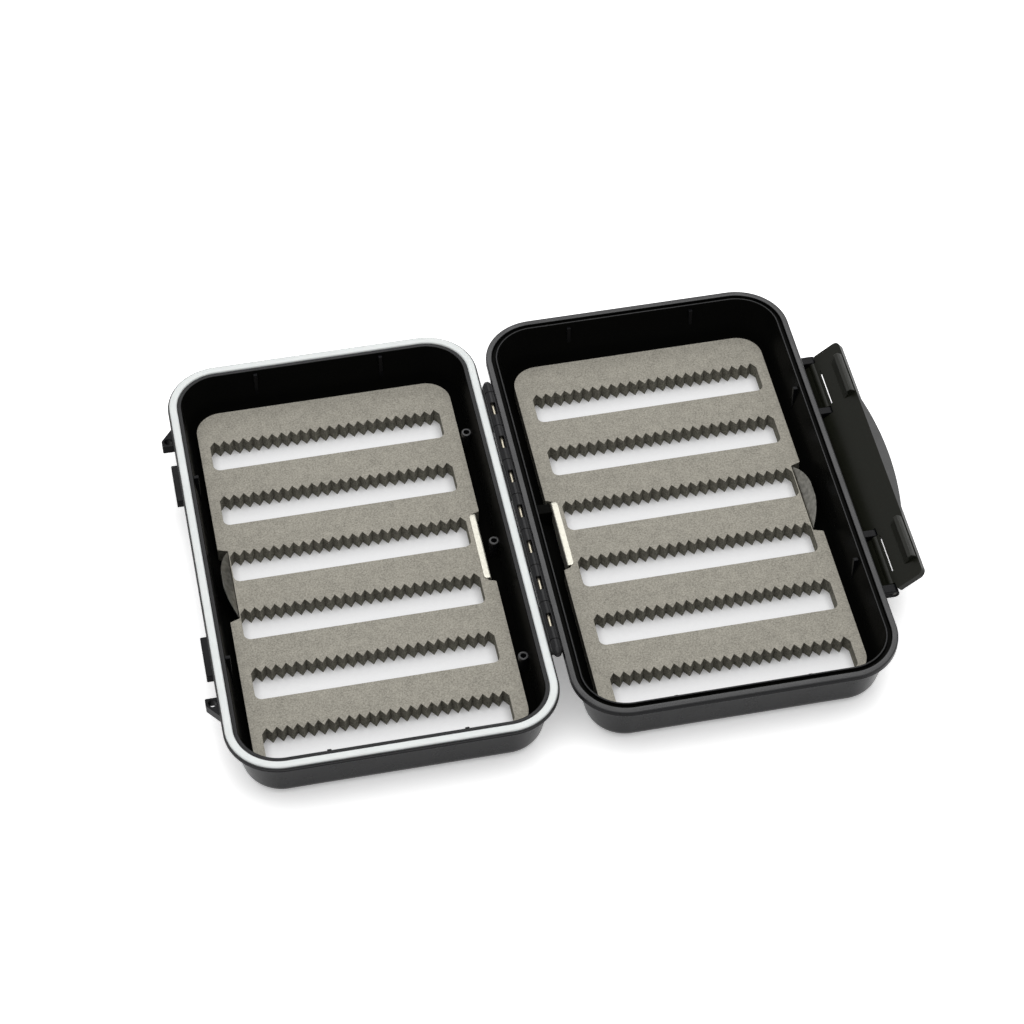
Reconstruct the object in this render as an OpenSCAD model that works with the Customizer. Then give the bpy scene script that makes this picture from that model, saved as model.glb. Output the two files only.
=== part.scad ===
// Pocket fly box: two equal shells on a pinned hinge, a rubber seal, a snap latch
// and two lift-out foam inserts. Drawn lying open, both hollows up, in millimetres.
// Each half is drawn about its own centre on the closing plane, with +x towards the
// hinge, and is then placed in the case.

/* [Case] */
// Length of the case along its hinge
case_len = 150; // [144:0.5:170]
// Width of one half across its rim
half_wid = 91.7; // [90:0.1:100]
// Height of one half, from its flat outside to the closing plane
half_high = 19; // [18.6:0.1:22]
// Plan radius of the rim's corners
corner_r = 15.4; // [13.5:0.1:18]
// Thickness of the rim flange
flange_t = 2; // [1.8:0.1:2.3]
// How far the side wall steps in under the flange
wall_inset = 1.7; // [1.4:0.1:2]
// Lean of the side wall
wall_lean = 12; // [9:0.5:13]
// Outside radius where the wall meets the flat
bottom_r = 7.5; // [7:0.1:8]
// Thickness of the flat outside
floor_t = 1.5; // [1.4:0.1:1.7]
// Radius of the rounded edges of the flange
flange_edge_r = 0.4; // [0.2:0.1:0.6]

/* [Rim of the base] */
// Drop of the base's rim below the closing plane
base_drop = 0.5; // [0.4:0.05:0.7]
// Width of the lip outside the seal
outer_lip_w = 0.45; // [0.35:0.05:0.5]
// Width of the seal's groove
groove_w = 2.3; // [2:0.1:2.5]
// Depth of the seal's groove below the base's rim
groove_deep = 1.3; // [1.1:0.1:1.4]
// Width of the lip inside the seal
inner_lip_w = 1.2; // [1:0.1:1.4]
// Gap between the seal and the closing plane
seal_gap = 0.05; // [0.05:0.01:0.1]
// Gap between the seal and each side of its groove
seal_fit = 0.04; // [0.02:0.01:0.06]
// Radius of the seal's top edges
seal_edge_r = 0.5; // [0.3:0.1:0.7]

/* [Rim of the lid] */
// Drop of the lid's rim below the closing plane
lid_drop = 0.05; // [0.05:0.01:0.1]
// Width of the flat band that presses on the seal
band_w = 1.75; // [1.6:0.05:1.9]
// Width of the groove inside the band
lid_groove_w = 1.2; // [1:0.1:1.3]
// Depth of the groove inside the band
lid_groove_deep = 0.9; // [0.7:0.1:1.1]
// Width of the thin inner lip
lid_lip_w = 0.5; // [0.4:0.05:0.6]

/* [Ribs and bosses] */
// How far a wall rib stands in from the wall
rib_out = 1.6; // [1.3:0.1:1.8]
// Width of a wall rib
rib_w = 1.2; // [0.8:0.1:1.6]
// Drop of a rib's top below the closing plane
rib_drop = 1.4; // [1.1:0.1:2]
// Distance of the ribs from the middle, on the long outer wall
rib_long_at = 33.6; // [30:0.1:36]
// Distance of the ribs from the middle, on the end walls
rib_end_at = 18.7; // [16:0.1:20]
// Outside radius of a ring boss
boss_r = 1.55; // [1.4:0.05:1.6]
// Radius of the blind hole in a ring boss
boss_hole_r = 0.8; // [0.6:0.05:0.9]
// Depth of the blind hole in a ring boss
boss_hole_deep = 4; // [3:0.5:5]
// Drop of a ring boss's top below the closing plane
boss_drop = 9.5; // [9:0.1:10]
// Distance of the outer ring bosses from the middle one
boss_step = 42.7; // [40:0.1:46]
// Gap between a ring boss and the insert
boss_gap = 0.4; // [0.35:0.05:0.6]
// Length of the small stop beside the lid's retaining lip
stop_len = 3.6; // [2:0.1:5]
// Gap between that stop and the retaining lip
stop_gap = 0.3; // [0.25:0.05:0.6]
// Height of that stop above the foam
stop_high = 0.4; // [0.2:0.1:1.5]

/* [Hinge] */
// Distance from the rim to the hinge axis
hinge_out = 1.5; // [1.4:0.05:1.7]
// Radius of a knuckle
knuckle_r = 1.6; // [1.5:0.05:1.65]
// Length of one middle knuckle and its gap
knuckle_step = 13.45; // [12.8:0.05:14]
// Gap between two knuckles
knuckle_gap = 0.2; // [0.1:0.05:0.4]
// Distance from the middle to each end of the hinge
hinge_half = 52; // [51.4:0.1:54]
// Length of the tapered end of the hinge
hinge_taper = 1.6; // [1:0.1:2]
// Radius of the hinge pin
pin_r = 0.6; // [0.5:0.05:0.7]
// How far the pin's far end lies inside its bore
pin_end = 0.3; // [0.1:0.1:0.6]
// Length of the window over the pin in a middle knuckle
window_len = 4.8; // [4:0.1:6]
// Width of the window over the pin
window_w = 1.5; // [1:0.1:1.7]
// Gap between a knuckle and the flange that is cut away for it
knuckle_clear = 0.25; // [0.2:0.01:0.3]

/* [Fits] */
// Running gap between a pin and its bore, on the radius
bore_fit = 0.05; // [0.03:0.01:0.08]
// Gap between the latch and what it turns beside
latch_clear = 0.2; // [0.15:0.05:0.3]
// Gap between the hook and the catch when the latch is shut
hook_clear = 0.1; // [0.05:0.01:0.2]
// Gap between the lying insert and the shell's flat inside
insert_rest = 0.1; // [0.05:0.01:0.15]
// Gap between a magnet and its pocket
magnet_fit = 0.05; // [0.03:0.01:0.1]
// Gap between touching layers and the steel parts
steel_fit = 0.05; // [0.03:0.01:0.1]

/* [Lugs and catches] */
// Distance from the middle to the inner side of a lug
lug_in = 46.8; // [46.3:0.1:48]
// Distance from a lug's inner side to its hole
lug_hole_in = 1.8; // [1.7:0.05:2]
// Radius of the hole in a lug
lug_hole_r = 1.2; // [1:0.05:1.25]
// How far a lug stands out from the rim
lug_out = 3.25; // [3.1:0.05:3.6]
// Thickness of a lug
lug_t = 2.7; // [2.4:0.1:3]
// Length of the straight outer side of a lug
lug_straight = 2.3; // [2:0.1:3]
// Length of the slanted side of a lug
lug_slant = 4.4; // [4:0.1:5]
// Gap between the hole of a lug and the rim
lug_hole_gap = 0.15; // [0.1:0.05:0.2]
// Drop of the lugs and catches below the closing plane
lug_drop = 1.4; // [1.2:0.1:1.6]
// Distance from the middle to the near end of a catch
catch_in = 25.3; // [24:0.1:27]
// Length of a catch
catch_len = 13.9; // [12:0.1:15]
// How far a catch stands out from the rim
catch_out = 1.75; // [1.6:0.05:1.8]
// Height of a catch
catch_high = 2.8; // [2.6:0.1:3]
// How far lugs and catches run on inside the rim, to meet the wall
root_in = 2.2; // [2.1:0.1:2.4]

/* [Latch] */
// How far the latch's pins lie out from the rim
latch_out = 3.75; // [3.6:0.05:4]
// Drop of the latch's pins below the closing plane
latch_drop = 3.95; // [3.7:0.05:4.3]
// Half length of the latch
latch_half = 45.5; // [44.6:0.1:45.6]
// Corner radius of the latch's outer edge
latch_corner_r = 2; // [1:0.1:3]
// Thickness of the latch's plate
latch_t = 1.8; // [1.6:0.05:1.9]
// Distance from the pins to the bend before the thumb tab
latch_reach = 10.45; // [10.2:0.05:11]
// Width of a hook rib
hook_w = 1.9; // [1.5:0.1:2]
// How far a hook rib stands over the plate's middle
hook_high = 2.8; // [2.6:0.05:3]
// How far a hook rib runs past the catch at each end
hook_past = 0.6; // [0.3:0.1:1]
// Height of the slope on a hook rib's far side
hook_slope = 1.1; // [0.6:0.1:1.4]
// Width of the slope at a hook rib's root, under the catch
hook_root_w = 2.2; // [1:0.1:2.6]
// Height of that slope over the plate's middle
hook_root_high = 1.8; // [1.2:0.05:1.85]
// How far the plate runs on past its pins, towards the lid
plate_root = 2.9; // [2.2:0.1:3.1]
// Angle of the open latch above the level
latch_up = 39; // [34:1:44]
// Half length of the thumb tab
tab_half = 24.3; // [20:0.1:28]
// How far the thumb tab stands out
tab_out = 2.7; // [2:0.1:3.2]
// Thickness of the thumb tab
tab_t = 1.5; // [1.2:0.1:1.7]
// Radius of the latch's steel pins
latch_pin_r = 0.5; // [0.4:0.05:0.55]
// Radius of the latch's barrels
barrel_r = 1.3; // [1.15:0.05:1.4]
// Distance from the latch's end to a barrel
barrel_edge = 2.3; // [2:0.1:2.8]
// Width of the slit in the plate beside a barrel
slit_w = 0.5; // [0.4:0.05:0.8]
// Length of that slit
slit_len = 12.6; // [8:0.2:14]
// Plate left between that slit and the barrel
slit_gap = 0.2; // [0.1:0.05:0.6]
// Distance from the barrel's inner end to that slit
slit_in = 0.4; // [0.2:0.1:2]
// Lean of that slit from upright on the plate
slit_lean = 20; // [0:1:30]
// Length of the inner pin boss
inner_boss_len = 2.4; // [2:0.1:3]
// Distance from the middle to the inner pin boss
inner_boss_in = 23; // [22:0.1:24]
// Length of the outer pin boss
outer_boss_len = 2.8; // [2.4:0.1:3]

/* [Insert] */
// Thickness of the toothed foam
foam_t = 4.5; // [4.2:0.1:4.6]
// Thickness of the white backing foam
backing_t = 1; // [0.9:0.05:1.1]
// Thickness of the carrier sheet
carrier_t = 0.5; // [0.4:0.05:0.6]
// Gap between an insert's long sides and the shell
side_gap = 0.65; // [0.62:0.01:0.8]
// Gap between an insert's ends and the shell
end_gap = 1.4; // [1.2:0.05:1.8]
// How far an insert sits towards the outer wall
insert_shift = 0.35; // [0.3:0.01:0.36]
// Corner radius of an insert
foam_corner_r = 7.5; // [7:0.1:8.5]
// Distance from one row of slots to the next
row_step = 21.45; // [21:0.05:21.6]
// Foam left beyond the first and last row, at least
row_margin = 4; // [3:0.1:5]
// Distance from one notch to the next
notch_step = 2.85; // [2.6:0.05:3.2]
// Foam left beside the slots, at least
notch_margin = 3; // [2.8:0.1:3.5]
// Depth of a notch
notch_deep = 1.95; // [1.5:0.05:2.2]
// Width of a slot, from its straight side to the notches' roots
slot_w = 11.36; // [10.5:0.02:12]
// Radius of the corners on a slot's straight side
slot_corner_r = 2; // [1:0.1:2.4]
// How far the rows sit towards the outer wall
slot_shift = 0.6; // [0.4:0.05:0.7]
// How far the rows sit towards the far end
row_shift = 1.47; // [1.2:0.01:1.7]

/* [Steel parts] */
// Half length of the notch in the middle of an insert's long sides
notch_half = 12.6; // [12.3:0.1:13.5]
// Depth of that notch
notch_in = 2.5; // [2.3:0.05:2.6]
// How much wider that notch is at the insert's edge than at its bottom
notch_flare = 0.8; // [0.4:0.1:1.2]
// Thickness of the steel parts
steel_t = 0.4; // [0.3:0.05:0.45]
// Half length of the steel parts
steel_half = 12; // [11:0.1:12.2]
// Width of the retaining lip
lip_w = 2; // [1.6:0.05:2.2]
// Radius of the retaining lip's inner corners
lip_corner_r = 0.8; // [0.5:0.1:1]
// Height of the pull tab above the foam
pull_high = 3.3; // [2.8:0.1:3.5]
// How far the pull tab leans out
pull_out = 3; // [2.6:0.1:3.1]
// Half length of a steel foot
foot_half = 5; // [4:0.1:6]
// Length of a steel foot
foot_len = 8.4; // [7.6:0.1:9.4]
// Size of the bend between the retaining lip's upright and its foot
foot_bend = 0.8; // [0.7:0.05:0.9]
// Thickness of a steel foot
foot_t = 0.3; // [0.2:0.05:0.3]

/* [Magnets] */
// Radius of a magnet
magnet_r = 3.5; // [3:0.1:3.6]
// Thickness of a magnet
magnet_t = 0.9; // [0.8:0.05:1]
// Distance from the notch's bottom in to a magnet's centre
magnet_in = 5.2; // [5:0.1:5.8]

/* [Hidden] */
$fn = 96;
over = 1;

// The rim, and the centre of its corners
rim_x = half_wid / 2;
rim_y = case_len / 2;
corner_x = rim_x - corner_r;
corner_y = rim_y - corner_r;

// The outside of a wall, as distances from the line of the corner centres
wall_top = corner_r - wall_inset;
wall_top_z = -lid_drop - flange_t;
bottom_z = -half_high;
arc_z = bottom_z + bottom_r;
arc_in = wall_top - (wall_top_z - arc_z) * tan(wall_lean) - bottom_r / cos(wall_lean);

// The inside of a wall: an arc about the same centre and a line up to the rim
inside_r = bottom_r - floor_t;
inside_z = bottom_z + floor_t;
seal_out = corner_r - outer_lip_w;
base_open = seal_out - groove_w - inner_lip_w;
lid_open = corner_r - band_w - lid_groove_w - lid_lip_w;
function inside_lean(open) =
    atan((open - arc_in) / -arc_z) - asin(inside_r / norm([open - arc_in, arc_z]));
function inside_at(z) = arc_in + sqrt(inside_r ^ 2 - (z - arc_z) ^ 2);

// The hinge
hinge_x = rim_x + hinge_out;
knuckle_count = 9;
mid_count = knuckle_count - 2;
hinge_end = hinge_half - hinge_taper;
web_top = -base_drop;
web_root = outer_lip_w / 2;
function joint_at(i) = (i - mid_count / 2) * knuckle_step;

// The layers of an insert, from the shell's flat inside up
carrier_z = inside_z + insert_rest;
backing_z = carrier_z + carrier_t;
foam_z = backing_z + backing_t;
foam_top = foam_z + foam_t;
foot_z = backing_z - steel_fit - foot_t;

// The outline of an insert at a height, as half sizes
function insert_half_x(z) = corner_x + inside_at(z) - side_gap;
function insert_half_y(z) = corner_y + inside_at(z) - end_gap;

// The rows of slots: as many rows and notches as the foam has room for
row_gap = row_step - slot_w;
row_count = floor((2 * (insert_half_y(foam_z) - row_margin) + row_gap) / row_step);
notch_count = floor(2 * (insert_half_x(foam_z) - notch_margin) / notch_step);
slot_len = notch_count * notch_step;
function row_at(i) = row_shift + ((row_count - 1) / 2 - i) * row_step - slot_w;

// The steel parts and the magnets under their feet
notch_at = insert_half_x(foam_z) - notch_in;
foot_in = notch_at - foot_len;
magnet_at = notch_at - magnet_in;
tab_face = notch_at + 2 * steel_fit;
lip_out = notch_at + lip_w / 2;

// The latch
latch_x = rim_x + latch_out;
hook_at = latch_drop + lug_drop + catch_high + hook_clear;
inner_boss_out = inner_boss_in + inner_boss_len;
barrel_in = inner_boss_out + latch_clear;
barrel_out = latch_half - barrel_edge;
outer_boss_in = barrel_out + latch_clear;
outer_boss_out = outer_boss_in + outer_boss_len;
lug_top = -lug_drop;
lug_hole_at = lug_in + lug_hole_in;

// A flat profile, drawn as distance out and height, taken round the rim's four sides
module around() {
    for (sx = [-1, 1], sy = [-1, 1])
        translate([sx * corner_x, sy * corner_y, 0])
            rotate([0, 0, atan2(sy, sx) - 45])
                rotate_extrude(angle = 90) children();
    for (turn = [0, 180]) {
        rotate([0, 0, turn]) translate([corner_x, 0, 0]) straight(corner_y) children();
        rotate([0, 0, turn + 90]) translate([corner_y, 0, 0]) straight(corner_x) children();
    }
}

// The same profile along one straight side
module straight(half) {
    rotate([90, 0, 0]) linear_extrude(2 * half, center = true) children();
}

// The block between the four corner centres
module core(low, high) {
    translate([-corner_x, -corner_y, low]) cube([2 * corner_x, 2 * corner_y, high - low]);
}

// A band of a profile between two distances and two heights
module band(from, to, low, high) {
    translate([from, low]) square([to - from, high - low]);
}

// The bottom arc and the leaning wall, cut off at the line of the corner centres
module bowl_profile(radius, lean, top_z) {
    touch = [arc_in + radius * cos(lean), arc_z - radius * sin(lean)];
    intersection() {
        band(0, corner_r, bottom_z - over, top_z);
        union() {
            translate([arc_in, arc_z]) circle(radius);
            polygon([
                [0, arc_z - radius], [arc_in, arc_z - radius], touch,
                [touch[0] + (top_z - touch[1]) * tan(lean), top_z], [0, top_z]
            ]);
        }
    }
}

// The rim flange, with both outer edges rounded
module flange_profile(top_z) {
    low = wall_top_z;
    edge = corner_r - flange_edge_r;
    band(0, edge, low, top_z);
    band(0, corner_r, low + flange_edge_r, top_z - flange_edge_r);
    for (z = [low + flange_edge_r, top_z - flange_edge_r])
        translate([edge, z]) circle(flange_edge_r, $fn = 48);
}

// One shell without its rim, hinge or fastenings; children are left standing inside
module bowl(open, top_z) {
    difference() {
        union() {
            around() {
                bowl_profile(bottom_r, wall_lean, wall_top_z);
                flange_profile(top_z);
            }
            core(bottom_z, top_z);
        }
        difference() {
            union() {
                around() bowl_profile(inside_r, inside_lean(open), over);
                core(inside_z, over);
            }
            children();
        }
    }
}

// The ribs on the long outer wall and on both end walls
module ribs(open) {
    for (s = [-1, 1]) {
        translate([-corner_x - open + rib_out, s * rib_long_at, 0]) rib();
        for (turn = [0, 1]) mirror([0, turn, 0])
            translate([s * rib_end_at, -corner_y - open + rib_out, 0]) rotate([0, 0, 90]) rib();
    }
}

// One rib, with its inner face at the origin; the wall trims the rest
module rib() {
    reach = rib_out + over;
    translate([-reach, -rib_w / 2, arc_z]) cube([reach, rib_w, -rib_drop - arc_z]);
}

// The ring bosses beside the hinge
boss_x = insert_half_x(foam_z) - insert_shift + boss_gap + boss_r;
module at_bosses() {
    for (i = [-1:1]) translate([boss_x, i * boss_step, 0]) children();
}

// A length of hinge barrel along y
module rod(radius, from, to) {
    translate([0, from, 0]) rotate([-90, 0, 0]) cylinder(r = radius, h = to - from);
}

// One knuckle with the web that joins it to the rim
module knuckle(from, to) {
    translate([hinge_x, 0, 0]) {
        rod(knuckle_r, from, to);
        translate([-hinge_out - web_root, from, -knuckle_r])
            cube([hinge_out + web_root, to - from, knuckle_r + web_top]);
    }
}

// The knuckles of one half; the base has the even ones and both ends
module knuckles(first) {
    for (i = [first:2:mid_count - 1])
        knuckle(joint_at(i) + knuckle_gap / 2, joint_at(i + 1) - knuckle_gap / 2);
}

// Both ends of the hinge, each with a tapered outer end
module end_knuckles() {
    for (turn = [0, 1]) mirror([0, turn, 0]) {
        knuckle(joint_at(mid_count) + knuckle_gap / 2, hinge_end);
        translate([hinge_x, hinge_end, 0]) rotate([-90, 0, 0])
            cylinder(r1 = knuckle_r, r2 = knuckle_r / 2, h = hinge_taper);
    }
}

// What is cut from one rim so that the other half's knuckles can turn
module knuckle_room(from, to) {
    translate([hinge_x, 0, 0]) rod(knuckle_r + knuckle_clear, from, to);
}

// The bore for the hinge pin, open at the far end, and the windows above it
module hinge_bore(first) {
    translate([hinge_x, 0, 0]) rod(pin_r + bore_fit, -hinge_end, hinge_half + over);
    for (i = [first:2:mid_count - 1])
        translate([hinge_x - window_w / 2, joint_at(i + 0.5) - window_len / 2, 0])
            cube([window_w, window_len, knuckle_r + over]);
}

// A lug with its hole, on the outer side of the base
module lug() {
    out = rim_x + lug_out;
    root = rim_x - root_in / 2;
    tip = lug_in + lug_straight;
    difference() {
        translate([0, 0, lug_top - lug_t]) linear_extrude(lug_t)
            polygon([[-root, lug_in], [-out, lug_in], [-out, tip], [-root, tip + lug_slant * 1.25]]);
        translate([-rim_x - lug_hole_r - lug_hole_gap, lug_hole_at, lug_top - lug_t - over])
            cylinder(r = lug_hole_r, h = lug_t + 2 * over);
    }
}

// A catch for one hook of the latch
module catch() {
    translate([-rim_x - catch_out, catch_in, lug_top - catch_high])
        cube([catch_out + root_in, catch_len, catch_high]);
}

// The two bosses that hold one latch pin
module latch_bosses() {
    arm = latch_out + root_in;
    for (place = [[inner_boss_in, inner_boss_len], [outer_boss_in, outer_boss_len]])
        translate([-latch_x, 0, -latch_drop]) {
            rod(barrel_r, place[0], place[0] + place[1]);
            translate([0, place[0], -barrel_r]) cube([arm, place[1], 2 * barrel_r]);
        }
}

// The small moulded stop beside the lid's retaining lip
module lip_stop() {
    translate([lip_out + stop_gap, steel_half - stop_len, bottom_z])
        cube([wall_top, stop_len, foam_top + stop_high - bottom_z]);
}

// The pockets in the floor for the magnets
module magnet_pockets() {
    for (s = [-1, 1]) translate([s * magnet_at, 0, inside_z - magnet_t])
        cylinder(r = magnet_r + magnet_fit, h = magnet_t + over);
}

// The base half about its own centre
module base_half() {
    difference() {
        union() {
            bowl(base_open, -base_drop) {
                ribs(base_open);
                at_bosses() translate([0, 0, bottom_z])
                    cylinder(r = boss_r, h = half_high - boss_drop);
            }
            for (turn = [0, 1]) mirror([0, turn, 0]) {
                lug();
                catch();
            }
        }
        around() band(seal_out - groove_w, seal_out, -base_drop - groove_deep, over);
        at_bosses() translate([0, 0, -boss_drop - boss_hole_deep])
            cylinder(r = boss_hole_r, h = boss_hole_deep + over);
        magnet_pockets();
        for (i = [1:2:mid_count - 1]) knuckle_room(joint_at(i), joint_at(i + 1));
    }
}

module base_shell() {
    color("dimgray") in_base() difference() {
        union() {
            base_half();
            knuckles(0);
            end_knuckles();
        }
        hinge_bore(0);
    }
}

// The lid half about its own centre
module lid_half() {
    groove_out = corner_r - band_w;
    difference() {
        union() {
            bowl(lid_open, -lid_drop) {
                ribs(lid_open);
                lip_stop();
            }
            for (turn = [0, 1]) mirror([0, turn, 0]) latch_bosses();
        }
        around() band(groove_out - lid_groove_w, groove_out, -lid_drop - lid_groove_deep, over);
        magnet_pockets();
        for (i = [0:2:mid_count - 1]) knuckle_room(joint_at(i), joint_at(i + 1));
        for (turn = [0, 1]) mirror([0, turn, 0]) {
            knuckle_room(joint_at(mid_count), hinge_half + over);
            translate([-latch_x, 0, -latch_drop])
                rod(latch_pin_r + bore_fit, inner_boss_in - over, outer_boss_out + over);
        }
    }
}

module lid_shell() {
    color("dimgray") in_lid() difference() {
        union() {
            lid_half();
            knuckles(1);
        }
        hinge_bore(1);
    }
}

module seal_ring() {
    low = -base_drop - groove_deep;
    from = seal_out - groove_w + seal_fit;
    to = seal_out - seal_fit;
    color("white") in_base() around() {
        band(from, to, low, -seal_gap - seal_edge_r);
        band(from + seal_edge_r, to - seal_edge_r, low, -seal_gap);
        for (at = [from + seal_edge_r, to - seal_edge_r])
            translate([at, -seal_gap - seal_edge_r]) circle(seal_edge_r, $fn = 48);
    }
}

module hinge_pin() {
    color("silver") in_base() translate([hinge_x, 0, 0])
        rod(pin_r, -hinge_end + bore_fit, hinge_half - pin_end);
}

// The latch in its own frame: +x away from the pins along the plate, +z the inner face
module latch_body() {
    difference() {
        union() {
            translate([-plate_root, -latch_half, -latch_t / 2])
                cube([latch_reach + plate_root, 2 * latch_half, latch_t]);
            thumb_tab();
            for (turn = [0, 1]) mirror([0, turn, 0]) {
                hook();
                rod(barrel_r, barrel_in, barrel_out);
            }
        }
        for (turn = [0, 1]) mirror([0, turn, 0]) {
            rod(latch_pin_r + bore_fit, barrel_in - over, barrel_out + over);
            boss_room(inner_boss_in - latch_clear, barrel_in);
            boss_room(barrel_out, latch_half + over);
            translate([barrel_r + slit_gap + slit_w / 2, barrel_in + slit_in, 0])
                rotate([0, slit_lean, 0]) translate([-slit_w / 2, 0, -2 * latch_t])
                    cube([slit_w, slit_len, 4 * latch_t]);
            plate_corner();
        }
    }
}

// What is cut from the plate's root so that a pin boss of the lid fits beside the barrel
module boss_room(from, to) {
    reach = plate_root + over;
    translate([-reach, from, -2 * barrel_r])
        cube([reach + barrel_r + latch_clear, to - from, 4 * barrel_r]);
}

// One hook rib, with its tip sloped on the far side and a low slope at its root
module hook() {
    translate([0, catch_in + catch_len + hook_past, 0]) rotate([90, 0, 0])
        linear_extrude(catch_len + 2 * hook_past) polygon([
            [hook_at - hook_root_w, 0], [hook_at - hook_root_w, latch_t / 2], [hook_at, hook_root_high],
            [hook_at, hook_high], [hook_at + hook_w - hook_slope / 2, hook_high],
            [hook_at + hook_w, hook_high - hook_slope], [hook_at + hook_w, 0]
        ]);
}

// What rounds one outer corner of the plate
module plate_corner() {
    r = latch_corner_r;
    translate([latch_reach - r, latch_half - r, -latch_t]) difference() {
        cube([r + over, r + over, 2 * latch_t]);
        translate([0, 0, -over]) cylinder(r = r, h = 2 * (latch_t + over));
    }
}

// The thumb tab, a shallow piece of a circle that lies level when the latch is open
module thumb_tab() {
    arc_r = (tab_half ^ 2 + tab_out ^ 2) / (2 * tab_out);
    root = latch_t * 0.6;
    translate([latch_reach, 0, latch_t / 2]) rotate([0, latch_up, 0]) translate([0, 0, -tab_t])
        intersection() {
            translate([tab_out - arc_r, 0, 0]) cylinder(r = arc_r, h = tab_t, $fn = 360);
            translate([-root, -tab_half, 0]) cube([tab_out + root, 2 * tab_half, tab_t]);
        }
}

// Puts the latch on its pins at the lid, standing open
module at_latch() {
    translate([-latch_x, 0, -latch_drop]) mirror([1, 0, 0]) rotate([0, -latch_up, 0]) children();
}

module latch() {
    color("darkslategray") in_lid() at_latch() latch_body();
}

// One steel pin of the latch
module latch_pin() {
    translate([-latch_x, 0, -latch_drop])
        rod(latch_pin_r, inner_boss_in + latch_clear, outer_boss_out - latch_clear);
}

module latch_pin_far() {
    color("silver") in_lid() latch_pin();
}

module latch_pin_near() {
    color("silver") in_lid() mirror([0, 1, 0]) latch_pin();
}

// A rounded plate of an insert that keeps its gaps to the shell at its own low side
module insert_plate(low, high) {
    half_x = insert_half_x(low);
    half_y = insert_half_y(low);
    r = foam_corner_r;
    translate([-insert_shift, 0, low]) {
        translate([r - half_x, -half_y, 0]) cube([2 * (half_x - r), 2 * half_y, high - low]);
        translate([-half_x, r - half_y, 0]) cube([2 * half_x, 2 * (half_y - r), high - low]);
        for (sx = [-1, 1], sy = [-1, 1])
            translate([sx * (half_x - r), sy * (half_y - r), 0]) cylinder(r = r, h = high - low);
    }
}

// The notches in the middle of both long sides, for the steel parts
module steel_notches(low, high) {
    far = 2 * notch_in;
    wide = notch_half + 2 * notch_flare;
    for (turn = [0, 1]) mirror([turn, 0, 0])
        translate([notch_at, 0, low - over]) linear_extrude(high - low + 2 * over)
            polygon([[0, -notch_half], [0, notch_half], [far, wide], [far, -wide]]);
}

// One slot: a row of notches on the far side and a straight near side
module slot() {
    r = slot_corner_r;
    tips = slot_w - notch_deep;
    translate([-slot_len / 2, 0, 0]) {
        translate([0, r]) square([slot_len, tips - r]);
        translate([r, 0]) square([slot_len - 2 * r, tips]);
        for (x = [r, slot_len - r]) translate([x, r]) circle(r);
        polygon([
            for (i = [0:notch_count - 1]) each [[i * notch_step, tips], [(i + 0.5) * notch_step, slot_w]],
            [slot_len, tips], [slot_len, tips - over], [0, tips - over]
        ]);
    }
}

// The grey foam with its rows of slots
module toothed_foam() {
    difference() {
        insert_plate(foam_z, foam_top);
        steel_notches(foam_z, foam_top);
        for (i = [0:row_count - 1])
            translate([-insert_shift - slot_shift, row_at(i), foam_z - over])
                linear_extrude(foam_t + 2 * over) slot();
    }
}

// The smooth white foam under the slots
module backing_foam() {
    difference() {
        insert_plate(backing_z, foam_z);
        steel_notches(backing_z, foam_z);
    }
}

// The thin sheet that carries an insert, cut out round the two steel feet
module carrier_sheet() {
    gap = 4 * steel_fit;
    wide = 2 * (foot_half + gap);
    difference() {
        insert_plate(carrier_z, backing_z);
        for (turn = [0, 1]) mirror([turn, 0, 0])
            translate([foot_in - gap, -wide / 2, carrier_z - over])
                cube([foot_len + notch_at, wide, carrier_t + 2 * over]);
    }
}

// The pull tab: a foot, an upright and a round blade that leans out
module pull_tab() {
    blade = norm([pull_out, pull_high]);
    half = steel_half - steel_t / 2;
    arc_r = (steel_half ^ 2 + blade ^ 2) / (2 * blade);
    foot_plate(tab_face + steel_t);
    translate([tab_face, -steel_half, foot_z + foot_t])
        cube([steel_t, 2 * steel_half, foam_top - foot_z - foot_t]);
    translate([tab_face, 0, foam_top]) rotate([0, atan2(pull_out, pull_high), 0]) intersection() {
        translate([0, 0, blade - arc_r]) rotate([0, 90, 0]) cylinder(r = arc_r, h = steel_t, $fn = 180);
        translate([-over, -half, 0]) cube([2 * over, 2 * half, blade + over]);
    }
}

// The flat foot of a steel part, over its magnet
module foot_plate(to) {
    translate([foot_in, -foot_half, foot_z]) cube([to - foot_in, 2 * foot_half, foot_t]);
}

// The retaining lip: a bar over the foam's edge, an upright and a foot
module retaining_lip() {
    in = lip_out - lip_w;
    face = lip_out - steel_t;
    bar_z = foam_top + steel_fit;
    r = lip_corner_r;
    translate([in, r - steel_half, bar_z]) cube([lip_w, 2 * (steel_half - r), steel_t]);
    translate([in + r, -steel_half, bar_z]) cube([lip_w - r, 2 * steel_half, steel_t]);
    for (s = [-1, 1])
        translate([in + r, s * (steel_half - r), bar_z]) cylinder(r = r, h = steel_t, $fn = 48);
    rotate([90, 0, 0]) linear_extrude(2 * foot_half, center = true)
        polygon([
            [foot_in, foot_z], [lip_out - foot_bend, foot_z], [lip_out, foot_z + foot_bend],
            [lip_out, bar_z], [face, bar_z], [face, foot_z + foot_bend],
            [face - foot_bend / 2, foot_z + foot_t], [foot_in, foot_z + foot_t]
        ]);
    translate([face, -steel_half, foam_z])
        cube([steel_t, 2 * steel_half, foam_t + steel_fit]);
}

module magnet() {
    translate([magnet_at, 0, inside_z - magnet_t]) cylinder(r = magnet_r, h = magnet_t);
}

// Places a half in the case: the base as it is, the lid turned about beside it
module in_base() {
    translate([0, 0, half_high]) children();
}

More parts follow.
